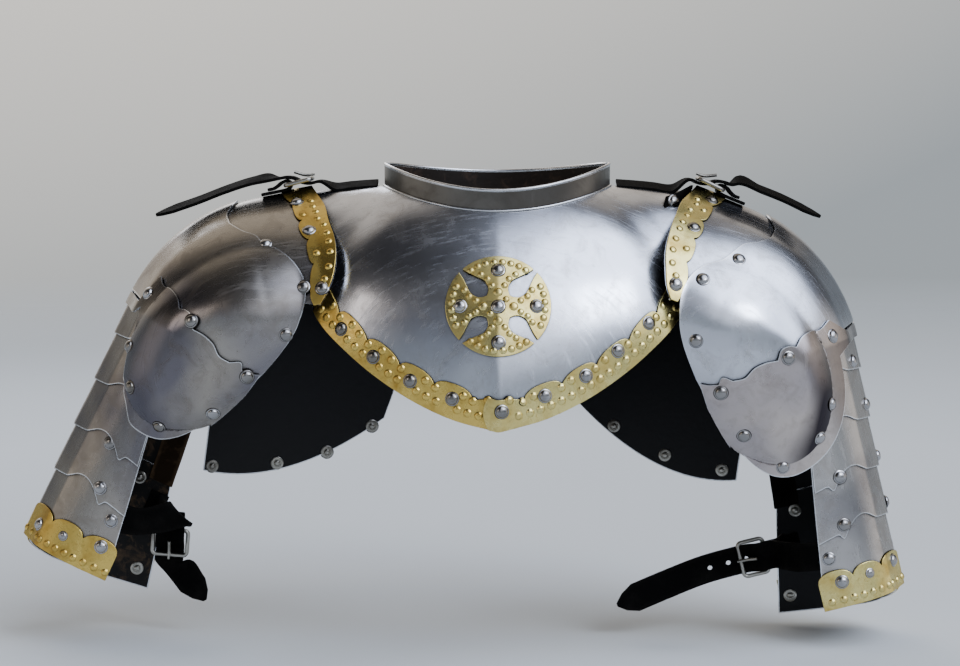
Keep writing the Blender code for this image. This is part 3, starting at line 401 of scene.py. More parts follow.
def dome(side, x, z):
    across, along = ovalPlace(side, x, z)
    wide = oval["outer"] - oval["rim"] if across > 0 else oval["inner"] + oval["rim"] / 2
    tall = oval["halfLength"] - oval["rim"] if along > 0 else oval["halfLength"]
    left = 1 - (across / wide) ** 2 - (along / tall) ** 2
    if left <= 0:
        return 0.0
    crisp = 0.72 * ramp(-0.35, 0.15, along / oval["halfLength"])
    foot = 1 - (1 - min(left / 0.66, 1.0)) ** 2
    return oval["domeHeight"] * ((1 - crisp) * left ** 1.15 + crisp * foot)


def skinPoint(side, spot, back=False, arm=False, domed=False):
    x, z = spot
    if arm:
        full = section["armBack"] if back else section["armFront"]
    else:
        across, along = ovalPlace(side, x, z)
        full = section["capDepth"] - 0.16 * along - 0.08 * across + (section["backExtra"] if back else 0.0)
    depth = sectionDepth(x, z, full) + (dome(side, x, z) if domed else 0.0)
    return Vector((x, depth if back else -depth, z))


def hang(side, point):
    run, inset = ridgePlace(point.x, point.z)
    nearRidge = max(0.0, 1 - max(inset, 0.0) / section["armReach"])
    wider = side["flare"] * ramp(0.40, 1.0, run / ridge["length"]) * nearRidge
    point = point - Vector((armInward.x, 0.0, armInward.y)) * wider
    swing = side["swing"]
    x = point.x * math.cos(swing) - point.z * math.sin(swing)
    z = point.x * math.sin(swing) + point.z * math.cos(swing)
    return Vector((side["sign"] * (side["hangX"] + x), point.y, side["hangZ"] + z))


def between(first, second, share):
    runA, insetA = ridgePlace(*first)
    runB, insetB = ridgePlace(*second)
    bent = fromRidge((runA + (runB - runA) * share) / ridge["length"], insetA + (insetB - insetA) * share)
    straight = first.lerp(second, share)
    return bent.lerp(straight, ramp(0.3 * section["neckReach"], 0.75 * section["neckReach"], max(insetA, insetB)))


def halfRows(side, upper, lower, count, back=False, arm=False, domed=False, sag=None):
    rows = []
    for j in range(count + 1):
        share = j / count
        row = []
        for i, (top, foot) in enumerate(zip(upper, lower)):
            spot = between(top, foot, share)
            if sag:
                spot += sag * 4 * share * (1 - share) * (i / (len(upper) - 1)) ** 3
            row.append(hang(side, skinPoint(side, spot, back, arm, domed)))
        rows.append(row)
    return rows


def joinHalves(front, back):
    return [list(reversed(f)) + b[1:] for f, b in zip(front, back)]


# making pieces
made = {}


def keepMesh(name, tool):
    mesh = bpy.data.meshes.new(name)
    tool.to_mesh(mesh)
    tool.free()
    return mesh


def thicken(piece, thickness, offset, faced=False):
    shell = piece.modifiers.new("thickness", "SOLIDIFY")
    shell.thickness = thickness
    shell.offset = offset
    if faced:
        shell.material_offset = 1
        # the cut edges take the third material, the bright edge steel: rubbed wear and a painted highlight
        shell.material_offset_rim = 2
    piece.modifiers.move(1, 0)
    return piece


def finishPiece(name, mesh, materials, nodes, cutEdge=0.00035, smooth=32):
    piece = bpy.data.objects.new(name, mesh)
    for material in materials:
        mesh.materials.append(material)
    bpy.context.scene.collection.objects.link(piece)
    mesh.shade_smooth()
    mesh.set_sharp_from_angle(angle=math.radians(smooth))
    if cutEdge:
        bevel = piece.modifiers.new("filed edge", "BEVEL")
        bevel.width = cutEdge
        bevel.segments = 2
        bevel.limit_method = "ANGLE"
        bevel.angle_limit = math.radians(50)
        bevel.harden_normals = True
    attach(piece, "root")
    if nodes:
        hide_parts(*nodes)
    made[name] = piece
    return piece


def withLip(lines, lip=0.0008):
    # a line of points close beside the first and the last one, for a narrow bright strip along the edge: rubbed wear
    # and a painted highlight
    def beside(edge, inner):
        return [a + (b - a) * min(lip / max((b - a).length, 1e-6), 0.5) for a, b in zip(edge, inner)]
    return [lines[0], beside(lines[0], lines[1])] + lines[1:-1] + [beside(lines[-1], lines[-2]), lines[-1]]


def sheetPiece(name, rows, thickness, materials, nodes, lift=0.0, flip=False, lifts=None, corner=1.5):
    # a grid of points raised off what lies under it, then thickened outward; the inside takes materials[0]
    faced = len(materials) > 1
    if faced:
        rows = list(zip(*withLip(list(zip(*withLip(rows))))))
        if lifts:
            lifts = [lifts[0]] + list(lifts) + [lifts[-1]]
    tool = bmesh.new()
    grid = [[tool.verts.new(point) for point in row] for row in rows]
    for j, (upper, lower) in enumerate(zip(grid, grid[1:])):
        for i in range(len(upper) - 1):
            corners = [upper[i], lower[i], lower[i + 1], upper[i + 1]]
            face = tool.faces.new(corners[::-1] if flip else corners)
            # the outermost strip of faces takes the bright edge steel: rubbed wear and a painted highlight along the
            # edge
            if faced and (j in (0, len(grid) - 2) or i in (0, len(upper) - 2)):
                face.material_index = 2
    tool.normal_update()
    raised = [(vert, vert.normal * (min(vert.calc_shell_factor(), corner) * (lift + (lifts[i] if lifts else 0.0))))
              for row in grid for i, vert in enumerate(row)]
    raised = [(vert, vert.co + move) for vert, move in raised]
    for vert, place in raised:
        vert.co = place
    bmesh.ops.remove_doubles(tool, verts=tool.verts[:], dist=0.00002)
    piece = finishPiece(name, keepMesh(name, tool), materials[::-1] + ([steelEdgeWornAndHighlit] if faced else []), nodes)
    return thicken(piece, thickness, 1.0, faced)


def wirePiece(name, points, diameter, material, nodes, closed=False, taper=None):
    curve = bpy.data.curves.new(name, "CURVE")
    curve.dimensions = "3D"
    curve.bevel_depth = diameter / 2
    curve.bevel_resolution = 4
    curve.use_fill_caps = True
    spline = curve.splines.new("POLY")
    spline.points.add(len(points) - 1)
    for i, (spot, point) in enumerate(zip(spline.points, points)):
        spot.co = (*point, 1.0)
        spot.radius = taper[i] if taper else 1.0
    spline.use_cyclic_u = closed
    spline.use_smooth = True
    curve.materials.append(material)
    piece = bpy.data.objects.new(name, curve)
    bpy.context.scene.collection.objects.link(piece)
    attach(piece, "root")
    if nodes:
        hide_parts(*nodes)
    return piece


def stepsFor(upper, lower, size):
    # how many columns each stretch of two matched edges takes
    return [max(1, math.ceil(max((upper[i + 1] - upper[i]).length, (lower[i + 1] - lower[i]).length) / size))
            for i in range(len(upper) - 1)]


def matched(upper, lower, size, corners):
    steps = stepsFor(upper, lower, size)
    return smoothLine(upper, steps, corners), smoothLine(lower, steps, corners[:3])


# gorget plates
neckHole = {"halfWidth": 0.079, "halfDepth": 0.068, "front": 0.0150, "side": 0.0160, "back": 0.0160}
gorget = {
    "halfWidth": 0.144, "frontReach": 0.122, "frontDrop": 0.155, "backReach": 0.085, "backDrop": 0.127,
    "sideRise": 0.0020, "neckFrontDrop": 0.0140, "neckBackDrop": 0.0040, "lap": 4.0,
    # degrees round the neck, shares of half width, reach and drop
    "edge": ((-90, 0.000, -1.000, -1.000), (-75, 0.222, -0.934, -0.948), (-60, 0.451, -0.861, -0.845),
             (-45, 0.681, -0.754, -0.690), (-32, 0.854, -0.607, -0.516), (-22, 0.889, -0.450, -0.310),
             (-11, 0.951, -0.230, -0.116), (0, 1.000, 0.020, -0.035), (12, 0.958, 0.360, -0.142),
             (24, 0.882, 0.620, -0.354), (36, 0.785, 0.800, -0.630), (50, 0.590, 0.918, -0.819),
             (70, 0.292, 0.976, -0.953), (90, 0.000, 1.000, -1.000)),
    "swell": ((-90, 0.118), (-45, 0.104), (-30, 0.062), (-11, 0.020), (0, 0.008), (24, 0.030), (50, 0.083),
              (90, 0.104)),
}


def gorgetPoint(degrees, out):
    mirrored = 1
    if degrees < -90:
        degrees, mirrored = -180 - degrees, -1
    angle = math.radians(degrees)
    front = degrees < 0
    dip = (gorget["neckFrontDrop"] if front else gorget["neckBackDrop"]) + gorget["sideRise"]
    neck = Vector((neckHole["halfWidth"] * math.cos(angle), neckHole["halfDepth"] * math.sin(angle),
                   gorget["sideRise"] - dip * math.sin(angle) ** 2))
    shares = [softAt([(row[0], row[k]) for row in gorget["edge"]] + [(110, (-0.292, 0.976, -0.953)[k - 1])], degrees)
              for k in (1, 2, 3)]
    reach = gorget["frontReach"] if front else gorget["backReach"]
    drop = gorget["frontDrop"] if front else gorget["backDrop"]
    edge = Vector((shares[0] * gorget["halfWidth"], shares[1] * reach, shares[2] * drop))
    sideWays = Vector((-math.sin(angle), math.cos(angle), 0.0))
    outward = (edge - neck).cross(sideWays).normalized()
    swell = softAt(gorget["swell"], degrees) * gorget["halfWidth"] * 4 * out * (1 - out)
    spot = neck.lerp(edge, out) + outward * swell
    return Vector((spot.x * mirrored, spot.y, spot.z))


def wholeRow(row, behind):
    other = [Vector((-point.x, point.y, point.z)) for point in reversed(row)]
    return row[:-1] + other if behind else other[:-1] + row


frontTurns = [-90 + i * (90 + gorget["lap"]) / 72 for i in range(73)]
backTurns = [-gorget["lap"] + i * (90 + gorget["lap"]) / 60 for i in range(61)]
frontRows = [wholeRow([gorgetPoint(turn, j / 44) for turn in frontTurns], False) for j in range(45)]
backRows = [wholeRow([gorgetPoint(turn, j / 36) for turn in backTurns], True) for j in range(37)]
sheetPiece("gorget_front", frontRows, stock["steel"], [blackInside, steelBright], ["front_plate"])
sheetPiece("gorget_back", backRows, stock["steel"], [blackInside, steelBright], ["back_plate"],
           lift=-layer)


def collarRows(start, end, inset):
    rows = [[] for _ in range(9)]
    for i in range(65):
        turn = start + (end - start) * i / 64
        angle = math.radians(turn)
        rise = softAt(((-90, neckHole["front"]), (0, neckHole["side"]), (90, neckHole["back"])), turn)
        x = math.cos(angle) * (neckHole["halfWidth"] - inset)
        y = math.sin(angle) * (neckHole["halfDepth"] - inset)
        base = gorgetPoint(turn, 0.0).z
        for j, row in enumerate(rows):
            row.append(Vector((x, y, base + rise + (-stock["steel"] - rise) * j / 8)))
    return [wholeRow(row, end == 90) for row in rows]


collarFront = collarRows(-90, gorget["lap"], stock["fit"] + stock["steel"])
collarBack = collarRows(-gorget["lap"], 90, stock["fit"] + stock["steel"] + layer)
for end, rows in (("front", collarFront), ("back", collarBack)):
    sheetPiece("collar_" + end, rows, stock["steel"], [collarInside, steelCollar], [end + "_collar"])
collarRoll = {"rim": 0.0022, "foot": 0.0016, "rimRise": 0.0003, "footRise": 0.0004}
for name, rows in (("collar_rim_front", collarFront), ("collar_rim_back", collarBack)):
    rimLine = [point + Vector((0, 0, collarRoll["rimRise"]))
               + Vector((point.x, point.y, 0)).normalized() * stock["steel"] / 2 for point in rows[0]]
    wirePiece(name, rimLine, collarRoll["rim"], steelEdgeWornAndHighlit, [])
footLine = [point + Vector((0, 0, stock["steel"] + collarRoll["footRise"])) for point in frontRows[0]]
wirePiece("collar_foot_front", footLine, collarRoll["foot"], steelEdgeWornAndHighlit, [])
print("gorget plates and collar made")


# lower brass borders of the gorget
lowerBorder = {"width": 0.0225, "cusps": (-0.30, 0.113, 0.285, 0.445, 0.603, 0.752, 0.905), "low": 0.70}


def turnAt(share):
    rows = [(row[1], row[0]) for row in gorget["edge"] if row[0] <= -22]
    return softAt(rows, share) if share >= 0 else -180 - softAt(rows, -share)


def lowerBorderPoint(share, height):
    # height is a share of the border's width, up from the gorget's lower edge
    turn = turnAt(share)
    length = (gorgetPoint(turn, 1.0) - gorgetPoint(turn, 0.0)).length
    return gorgetPoint(turn, 1.0 - height * lowerBorder["width"] / length)


def makeLowerBorder(name, sign, start, material):
    end, columns, heights = 0.854, 170, 12
    rows = [[] for _ in range(heights + 1)]
    lifts = []
    for i in range(columns + 1):
        share = start + (end - start) * i / columns
        nearEnd = max(0.0, 1 - i / (columns * 0.10))
        topShare = lobe(share, lowerBorder["cusps"], lowerBorder["low"]) * (0.88 if share < 0.113 else 1.0)
        for j, row in enumerate(rows):
            height = topShare * (1 - j / heights)
            bulge = 0.022 * math.sin(math.pi * min(j / heights, 1.0)) * nearEnd if sign > 0 else 0.0
            point = lowerBorderPoint(share - bulge, height)
            row.append(Vector((sign * point.x, point.y, point.z)))
        lifts.append((stock["brass"] + stock["fit"]) * (1 - ramp(0.035, 0.113, share)) if sign > 0 else 0.0)
    sheetPiece(name, rows, stock["brass"], [material], [name.replace("gorget_border_", "") + "_lower_border"],
               lift=layer, flip=sign < 0, lifts=lifts)


makeLowerBorder("gorget_border_left", 1, -0.040, brassHighlightCopy)
makeLowerBorder("gorget_border_right", -1, 0.0, brassGold)


# badge: a round cut as a cross with four spreading arms
badge = {"radius": 0.0345, "drop": 0.0745, "lean": math.radians(23),
         "arm": ((0.305, 45.0), (0.322, 38.5), (0.345, 33.5), (0.39, 28.0), (0.455, 25.0), (0.58, 27.0),
                 (0.71, 34.0), (0.85, 39.5), (1.00, 42.5)),
         # share of the radius, angle from the arm's middle, size of the raised dot
         "dots": [(0.88, turn, 0.0021) for turn in (-36, -26, -15.5, -5, 5, 15.5, 26, 36)]
                 + [(share, turn * way, 0.0019) for share, turn in ((0.71, 27), (0.58, 20), (0.43, 15))
                    for way in (-1, 1)] + [(0.285, 0, 0.0026), (0.20, 45, 0.0019)],
         "rivets": ((0.0, 0), (0.72, 0), (0.72, 90), (0.72, 180), (0.72, 270))}
frontWide = len(frontRows[0])
frontFaces = [(k, k + frontWide, k + frontWide + 1, k + 1) for j in range(len(frontRows) - 1)
              for k in range(j * frontWide, (j + 1) * frontWide - 1)]
frontTree = BVHTree.FromPolygons([point for row in frontRows for point in row], frontFaces)


def badgeSpot(share, degrees):
    # a place of the badge, by its share of the radius and its angle from the top, set back onto the front plate
    angle, radius = math.radians(degrees), share * badge["radius"]
    start = Vector((radius * math.sin(angle), -1.0, radius * math.cos(angle) * math.cos(badge["lean"]) - badge["drop"]))
    hit, normal, index, distance = frontTree.ray_cast(start, Vector((0.0, 1.0, 0.0)))
    return hit, (normal if normal.y < 0 else -normal)


def makeBadge():
    tool = bmesh.new()
    radii = sorted([i / 32 for i in range(33)] + [0.305, 0.322, 0.360])
    columns = 16
    for arm in range(4):
        rows = []
        for share in radii:
            half = 45.0 if share <= badge["arm"][0][0] else softAt(badge["arm"], share)
            row = []
            for i in range(columns + 1):
                hit, normal = badgeSpot(share, 90 * arm + half * (1 - 2 * i / columns))
                row.append(tool.verts.new(hit + normal * layer))
            rows.append(row)
        for inner, outer in zip(rows, rows[1:]):
            for i in range(columns):
                tool.faces.new((inner[i], outer[i], outer[i + 1], inner[i + 1]))
    bmesh.ops.remove_doubles(tool, verts=tool.verts[:], dist=0.00003)
    bmesh.ops.dissolve_degenerate(tool, edges=tool.edges[:], dist=0.00001)
    bmesh.ops.recalc_face_normals(tool, faces=tool.faces[:])
    if sum(face.normal.y for face in tool.faces) > 0:
        bmesh.ops.reverse_faces(tool, faces=tool.faces[:])
    piece = finishPiece("badge_cross", keepMesh("badge_cross", tool), [brassHighlightCopy], ["cross_badge"])
    thicken(piece, stock["brass"], 1.0)


makeBadge()
print("brass borders and badge made")


# pauldron plates
leftSide = {
    "name": "left", "sign": 1, "plateSteel": steelBright, "wingSteel": steelWingLeft, "lameSteel": steelLameLeft,
    "lowInside": blackInside, "brass": brassHighlightCopy, "suede": suedeBlack,
    "hangX": 0.1375, "hangZ": 0.0015, "swing": math.radians(0.0), "neckMoves": (0.0, 0.0, 0.0, 0.0, -0.003, 0.0),
    "wingCorner": (0.0, 0.0), "flare": 0.0, "ovalTop": (-0.00016, -0.05189), "ovalLean": math.radians(27.0),
    "freeEnd": ((0.030, 0.0050), (0.046, -0.0010), (0.061, -0.0070), (0.076, -0.0140), (0.088, -0.0200)),
    "armBuckle": (0.1815, 0.0120, -0.2600), "armTurn": math.radians(194.0), "strapRun": 0.885, "tabRun": 0.905,
    "armLead": ((0.2110, -0.0340, -0.2530, 92), (0.2045, -0.0220, -0.2545, 94), (0.2000, -0.0080, -0.2560, 100)),
    "armFree": ((0.1480, 0.0110, -0.2690, 105), (0.1200, 0.0070, -0.2792, 108), (0.0920, 0.0020, -0.2902, 109),
                (0.0850, 0.0010, -0.2930, 109)),
    "armTab": ((0.2030, 0.0190, -0.2560, 100), (0.2060, 0.0330, -0.2570, 96)),
    "strapHoles": (0.070, 0.084, 0.098),
}
rightSide = {
    "name": "right", "sign": -1, "plateSteel": steelShadedCopy, "wingSteel": steelWingShadedCopy, "lameSteel": steelLameShadedCopy,
    "lowInside": rustyInside, "brass": brassGold, "suede": suedeBrown,
    "hangX": 0.1280, "hangZ": 0.0010, "swing": math.radians(11.0),
    "neckMoves": (0.0, -0.006, -0.008, -0.009, -0.008, -0.005),
    "wingCorner": (0.022, -0.014), "flare": 0.0062, "ovalTop": (0.00004, -0.04936), "ovalLean": math.radians(34.0),
    "freeEnd": ((0.031, 0.0075), (0.042, 0.0054), (0.062, -0.0010), (0.080, -0.0080), (0.098, -0.0145),
                (0.110, -0.0184)),
    "armBuckle": (0.2320, 0.0180, -0.2500), "armTurn": math.radians(275.0), "strapRun": 0.868, "tabRun": 0.865,
    "armLead": ((0.2310, -0.0290, -0.2260, 84), (0.2250, -0.0160, -0.2260, 66), (0.2225, -0.0040, -0.2285, 40),
                (0.2260, 0.0040, -0.2340, 15)),
    "armFree": ((0.2262, 0.0150, -0.2680, -30), (0.2170, 0.0120, -0.2800, -38), (0.2100, 0.0100, -0.2880, -42),
                (0.2072, 0.0095, -0.2912, -42)),
    "armTab": ((0.2330, 0.0260, -0.2290, 25), (0.2370, 0.0390, -0.2285, 60)),
    "strapHoles": (),
}


def bandSpots(share):
    return [fromRidge(share, inset) for inset in (0.0, ridge["edge"], ridge["band"])]


def pauldronSheet(side, piece, node, rows, thickness, materials, lift=0.0, corner=1.5, lifts=None):
    sheetPiece(side["name"] + "_" + piece, rows, thickness, materials, [side["name"] + "_" + node],
               lift=lift, flip=side["sign"] < 0, corner=corner, lifts=lifts)


neckPlate = {
    "front": ((0.253, -0.027, 0.178), (0.379, -0.029, 0.148), (0.505, -0.025, 0.125), (0.632, -0.012, 0.098),
              (0.726, 0.004, 0.071), (0.800, 0.018, 0.015)),
    "ridge": (0.002, 0.184), "band": (-0.021, 0.202),
    "back": ((-0.062, -0.040, 0.170, -0.100), (-0.115, -0.083, 0.178, -0.165), (-0.165, -0.145, 0.172, -0.245),
             (-0.200, -0.215, 0.160, -0.330), (-0.225, -0.295, 0.146, -0.420), (-0.240, -0.385, 0.131, -0.520),
             (-0.229, -0.475, 0.113, -0.640)),
    "sag": 0.050,
    "borderWidth": 0.070, "cusps": (-0.05, 0.095, 0.222, 0.356, 0.525, 0.860),
    "borderHeight": ((0.0, 0.94), (0.30, 0.90), (0.60, 0.72), (0.74, 0.44), (0.80, 0.20)),
    "borderEnd": 0.797, "spacing": 0.003, "rows": 24,
}


def neckFront(side):
    # the two neck edges hang a little apart
    return [(inset, neck + move, foot) for (inset, neck, foot), move in zip(neckPlate["front"], side["neckMoves"])]


def makeNeckPlate(side):
    runs = (neckPlate["ridge"], neckPlate["ridge"], neckPlate["band"])
    insets = (0.0, ridge["edge"], ridge["band"])
    upper = [fromRidge(pair[0], inset) for pair, inset in zip(runs, insets)]
    lower = [fromRidge(pair[1], inset) for pair, inset in zip(runs, insets)]
    frontUpper = upper + [fromRidge(neck, inset * section["neckReach"]) for inset, neck, foot in neckFront(side)]
    frontLower = lower + [fromRidge(foot, inset * section["neckReach"]) for inset, neck, foot in neckFront(side)]
    backUpper = upper + [Vector((x, z)) * ridge["length"] for x, z, footX, footZ in neckPlate["back"]]
    backLower = lower + [(Vector((row[2], row[3])) + Vector(side["wingCorner"]) * (i / 6) ** 3) * ridge["length"]
                         for i, row in enumerate(neckPlate["back"])]
    front = halfRows(side, *matched(frontUpper, frontLower, neckPlate["spacing"], (0, 1, 2)), neckPlate["rows"])
    sag = Vector((0.0, -neckPlate["sag"] * ridge["length"]))
    back = halfRows(side, *matched(backUpper, backLower, neckPlate["spacing"], (0, 1, 2)), neckPlate["rows"],
                    back=True, sag=sag)
    pauldronSheet(side, "neck_lame", "neck_plate", joinHalves(front, back), stock["steel"],
                  [blackInside, side["plateSteel"]])


def neckBorderSpot(side, inset, height):
    # height is a share of the border's width, out from the neck edge
    edge = [(0.0, neckPlate["ridge"][0]), (ridge["band"] / section["neckReach"], neckPlate["band"][0])]
    edge += [(row[0], row[1]) for row in neckFront(side)]
    run = softAt(edge, inset) if inset > edge[1][0] else at(edge, inset)
    return fromRidge(run + neckPlate["borderWidth"] * height, inset * section["neckReach"])


def makeNeckBorder(side):
    insets = sorted({i / 90 * neckPlate["borderEnd"] for i in range(91)} | {ridge["edge"] / section["neckReach"],
                                                           ridge["band"] / section["neckReach"]})
    rows = []
    for j in range(11):
        row = []
        for inset in insets:
            wide = softAt(neckPlate["borderHeight"], inset) * lobe(inset, neckPlate["cusps"], 0.78)
            row.append(hang(side, skinPoint(side, neckBorderSpot(side, inset, wide * j / 10))))
        rows.append(row[::-1])
    pauldronSheet(side, "neck_border", "neck_border", rows, stock["brass"], [side["brass"]],
                  lift=layer)


def offBand(spot, column):
    run, inset = ridgePlace(*spot)
    return fromRidge(run / ridge["length"], max(inset, ridge["band"] + wingPlate["bandStep"] * (column + 1)))


capPlate = {
    "ridge": ((0.158, 0.0), (0.166, 1.0)), "step": ((0.181, 0.060), (0.178, 0.133)),
    "free": ((0.150, 0.215), (0.121, 0.266), (0.107, 0.330)), "turns": (-15, 0, 15, 30, 45, 60, 74, 84),
    "foot": 0.440, "tuck": 0.10, "span": (0.95, -0.65), "spacing": 0.0024, "rows": 44,
}


def makeCapPlate(side):
    top = [fromRidge(run, share * ridge["edge"]) for run, share in capPlate["ridge"]]
    top += [fromRidge(run, inset * section["neckReach"]) for run, inset in capPlate["step"] + capPlate["free"]]
    top += [ovalEdge(side, turn) for turn in capPlate["turns"]]
    foot = [fromRidge(capPlate["foot"], inset)
            for inset in (0.0, ridge["edge"], capPlate["step"][0][1] * section["neckReach"], ridge["band"])]
    free = len(top) - len(foot)
    first, last = capPlate["span"]
    for column in range(free):
        across = (first + (last - first) * column / (free - 1)) * oval["outer"]
        foot.append(offBand(ovalSpot(side, across, capPlate["tuck"] * oval["halfLength"]), column))
    steps = stepsFor(top, foot, capPlate["spacing"])
    upper, lower = smoothLine(top, steps, (0, 1, 3)), smoothLine(foot, steps, (0, 1, 3))
    front, back = [halfRows(side, upper, lower, capPlate["rows"], back=back, domed=True) for back in (False, True)]
    pauldronSheet(side, "cap", "cap_plate", joinHalves(front, back), stock["steel"],
                  [blackInside, side["plateSteel"]], lift=layer)


wingPlate = {
    "wave": ((1.045, -0.076), (0.89, -0.050), (0.75, -0.082), (0.64, -0.080), (0.535, -0.035), (0.470, -0.074),
             (0.380, -0.082), (0.275, -0.015), (0.150, -0.045), (-0.010, -0.052), (-0.170, -0.014),
             (-0.300, -0.035), (-0.400, -0.100), (-0.470, -0.055), (-0.560, -0.085), (-0.640, -0.130)),
    "cusps": (4, 7, 11, 13), "start": -104.0, "sweep": 164.0, "bandStep": 0.0035, "top": 0.444, "foot": 0.470,
    "spacing": 0.0016, "rows": 60,
}


def makeWingPlate(side):
    top, foot = bandSpots(wingPlate["top"]), bandSpots(wingPlate["foot"])
    first, last = wingPlate["wave"][0][0], wingPlate["wave"][-1][0]
    for column, (across, along) in enumerate(wingPlate["wave"]):
        top.append(offBand(ovalSpot(side, across * oval["outer"], along * oval["halfLength"]), column))
        turn = wingPlate["start"] - wingPlate["sweep"] * (first - across) / (first - last)
        foot.append(offBand(ovalEdge(side, turn if turn > -180 else turn + 360), column))
    steps = stepsFor(top, foot, wingPlate["spacing"])
    upper = smoothLine(top, steps, (0, 1, 2, 3) + tuple(3 + i for i in wingPlate["cusps"]))
    lower = smoothLine(foot, steps, (0, 1, 2, 3))
    front, back = [halfRows(side, upper, lower, wingPlate["rows"], back=back, domed=True) for back in (False, True)]
    lowered = [(ramp(0.0045, 0.0135, ridgePlace(*spot)[1]) - 1) * (layer + stock["fit"]) for spot in upper]
    pauldronSheet(side, "wing", "wing_plate", joinHalves(front, back), stock["steel"],
                  [blackInside, side["wingSteel"]], lift=2 * layer + stock["fit"], corner=1.12,
                  lifts=lowered[::-1] + lowered[1:])


lames = {
    "ends": (0.540, 0.644, 0.748, 0.850, 1.000), "firstTop": 0.445, "lap": 0.066,
    "wave": ((0.00, 0.0), (0.26, -0.010), (0.40, -0.024), (0.52, -0.026), (0.64, -0.017), (0.75, 0.000),
             (0.83, 0.013), (0.89, 0.003), (1.00, 0.005), (1.18, 0.012), (1.40, 0.018)),
    "frontEdge": ((0.54, 0.90), (0.65, 1.02), (0.75, 1.10), (0.85, 1.22), (1.00, 1.34)),
    "backEdge": ((0.54, 1.20), (0.65, 1.32), (0.75, 1.44), (0.85, 1.56), (1.00, 1.84)),
    "backFoot": ((0.00, 0.004), (0.08, 0.030), (0.26, 0.050), (0.60, 0.058), (1.10, 0.052), (1.90, 0.036)),
    "cuffWidth": 0.0265, "cuffCusps": (-0.26, 0.0, 0.36, 0.83, 1.34),
}


def makeLame(side, number):
    end = lames["ends"][number]
    top = lames["firstTop"] if number == 0 else lames["ends"][number - 1] - lames["lap"]
    last = number == len(lames["ends"]) - 1
    halves = []
    for back, edge in ((False, lames["frontEdge"]), (True, lames["backEdge"])):
        width, topWidth = at(edge, end), at(edge, top)
        columns = 46
        upper, lower = [fromRidge(top, 0.0)], [fromRidge(end, 0.0)]
        first = ridge["edge"] / section["armReach"]
        for i in range(columns + 1):
            share = first + (width - first) * i / columns
            shareTop = first + (topWidth - first) * i / columns
            wave = softAt(lames["wave"], share) if not last else 0.0
            if last and back:
                wave = softAt(lames["backFoot"], share)
            upper.append(fromRidge(top, shareTop * section["armReach"]))
            lower.append(fromRidge(end + wave, share * section["armReach"]))
        halves.append(halfRows(side, upper, lower, 12 if not last else 20, back=back, arm=True))
    inside = side["lowInside"] if number >= 3 else blackInside
    pauldronSheet(side, "lame_%d_dressed" % (number + 1), "lame_%d" % (number + 1), joinHalves(*halves),
                  stock["steel"], [inside, side["lameSteel"]], lift=-number * layer)


def cuffSpot(inset, height, back):
    run = 1.0 + (softAt(lames["backFoot"], inset) if back else 0.0)
    return fromRidge(run - height * lames["cuffWidth"] / ridge["length"], inset * section["armReach"])


def makeCuffBorder(side):
    halves = []
    for back in (False, True):
        stretch = 1.0 if not back else lames["backEdge"][-1][1] / lames["frontEdge"][-1][1]
        rows = [[] for _ in range(9)]
        first, last = ridge["edge"] / section["armReach"], (1.28 if back else 1.34) * stretch
        insets = [0.0] + [first + (last - first) * i / 84 for i in range(85)]
        for inset in insets:
            tall = lobe(inset / stretch, lames["cuffCusps"], 0.72)
            for j, row in enumerate(rows):
                row.append(hang(side, skinPoint(side, cuffSpot(inset, tall * (1 - j / 8), back), back, arm=True)))
        halves.append(rows)
    pauldronSheet(side, "cuff_edging", "cuff_border", joinHalves(*halves), stock["brass"],
                  [side["brass"]], lift=-(len(lames["ends"]) - 2) * layer)


for side in (leftSide, rightSide):
    makeNeckPlate(side)
    makeNeckBorder(side)
    makeCapPlate(side)
    makeWingPlate(side)
    for number in range(len(lames["ends"])):
        makeLame(side, number)
    makeCuffBorder(side)
print("pauldron plates made")


# straps, tabs and buckles
strap = {"width": 0.020, "tab": 0.88, "gap": 0.004, "liftOff": 0.016, "insets": (1.04, 1.28),
         "tabInsets": (1.56, 1.30), "tip": 0.014, "tilt": math.radians(12.0), "hole": 0.0034}
buckle = {"wire": 0.0030, "length": 0.0210, "width": 0.0275, "corner": 0.0028, "tongue": 0.0022}


def ribbonPiece(name, rows, materials, node, steps=6, tips=(), holes=()):
    # strap from a row of centres and half widths; an end that isn't square narrows to a point
    spacing = [max((b[0] - a[0]).length, 1e-5) for a, b in zip(rows, rows[1:])]
    centres = smoothLine([row[0] for row in rows], [steps] * (len(rows) - 1), (), spacing)
    halves = smoothLine([row[1] for row in rows], [steps] * (len(rows) - 1), tips, spacing)
    across = 6
    tool = bmesh.new()
    worn = tool.verts.layers.float.new("edgeWear")
    grid = []
    for centre, half in zip(centres, halves):
        row = []
        for k in range(across + 1):
            vert = tool.verts.new(centre + half * (2 * k / across - 1))
            vert[worn] = 1.0 if k in (0, across) else 0.0
            row.append(vert)
        grid.append(row)
    for upper, lower in zip(grid, grid[1:]):
        for k in range(across):
            tool.faces.new((upper[k], lower[k], lower[k + 1], upper[k + 1]))
    piece = finishPiece(name, keepMesh(name, tool), materials, [node] if node else [], cutEdge=0.0005)
    thicken(piece, stock["leather"], 0.0)
    if holes:
        punchHoles(piece, centres, halves, holes)


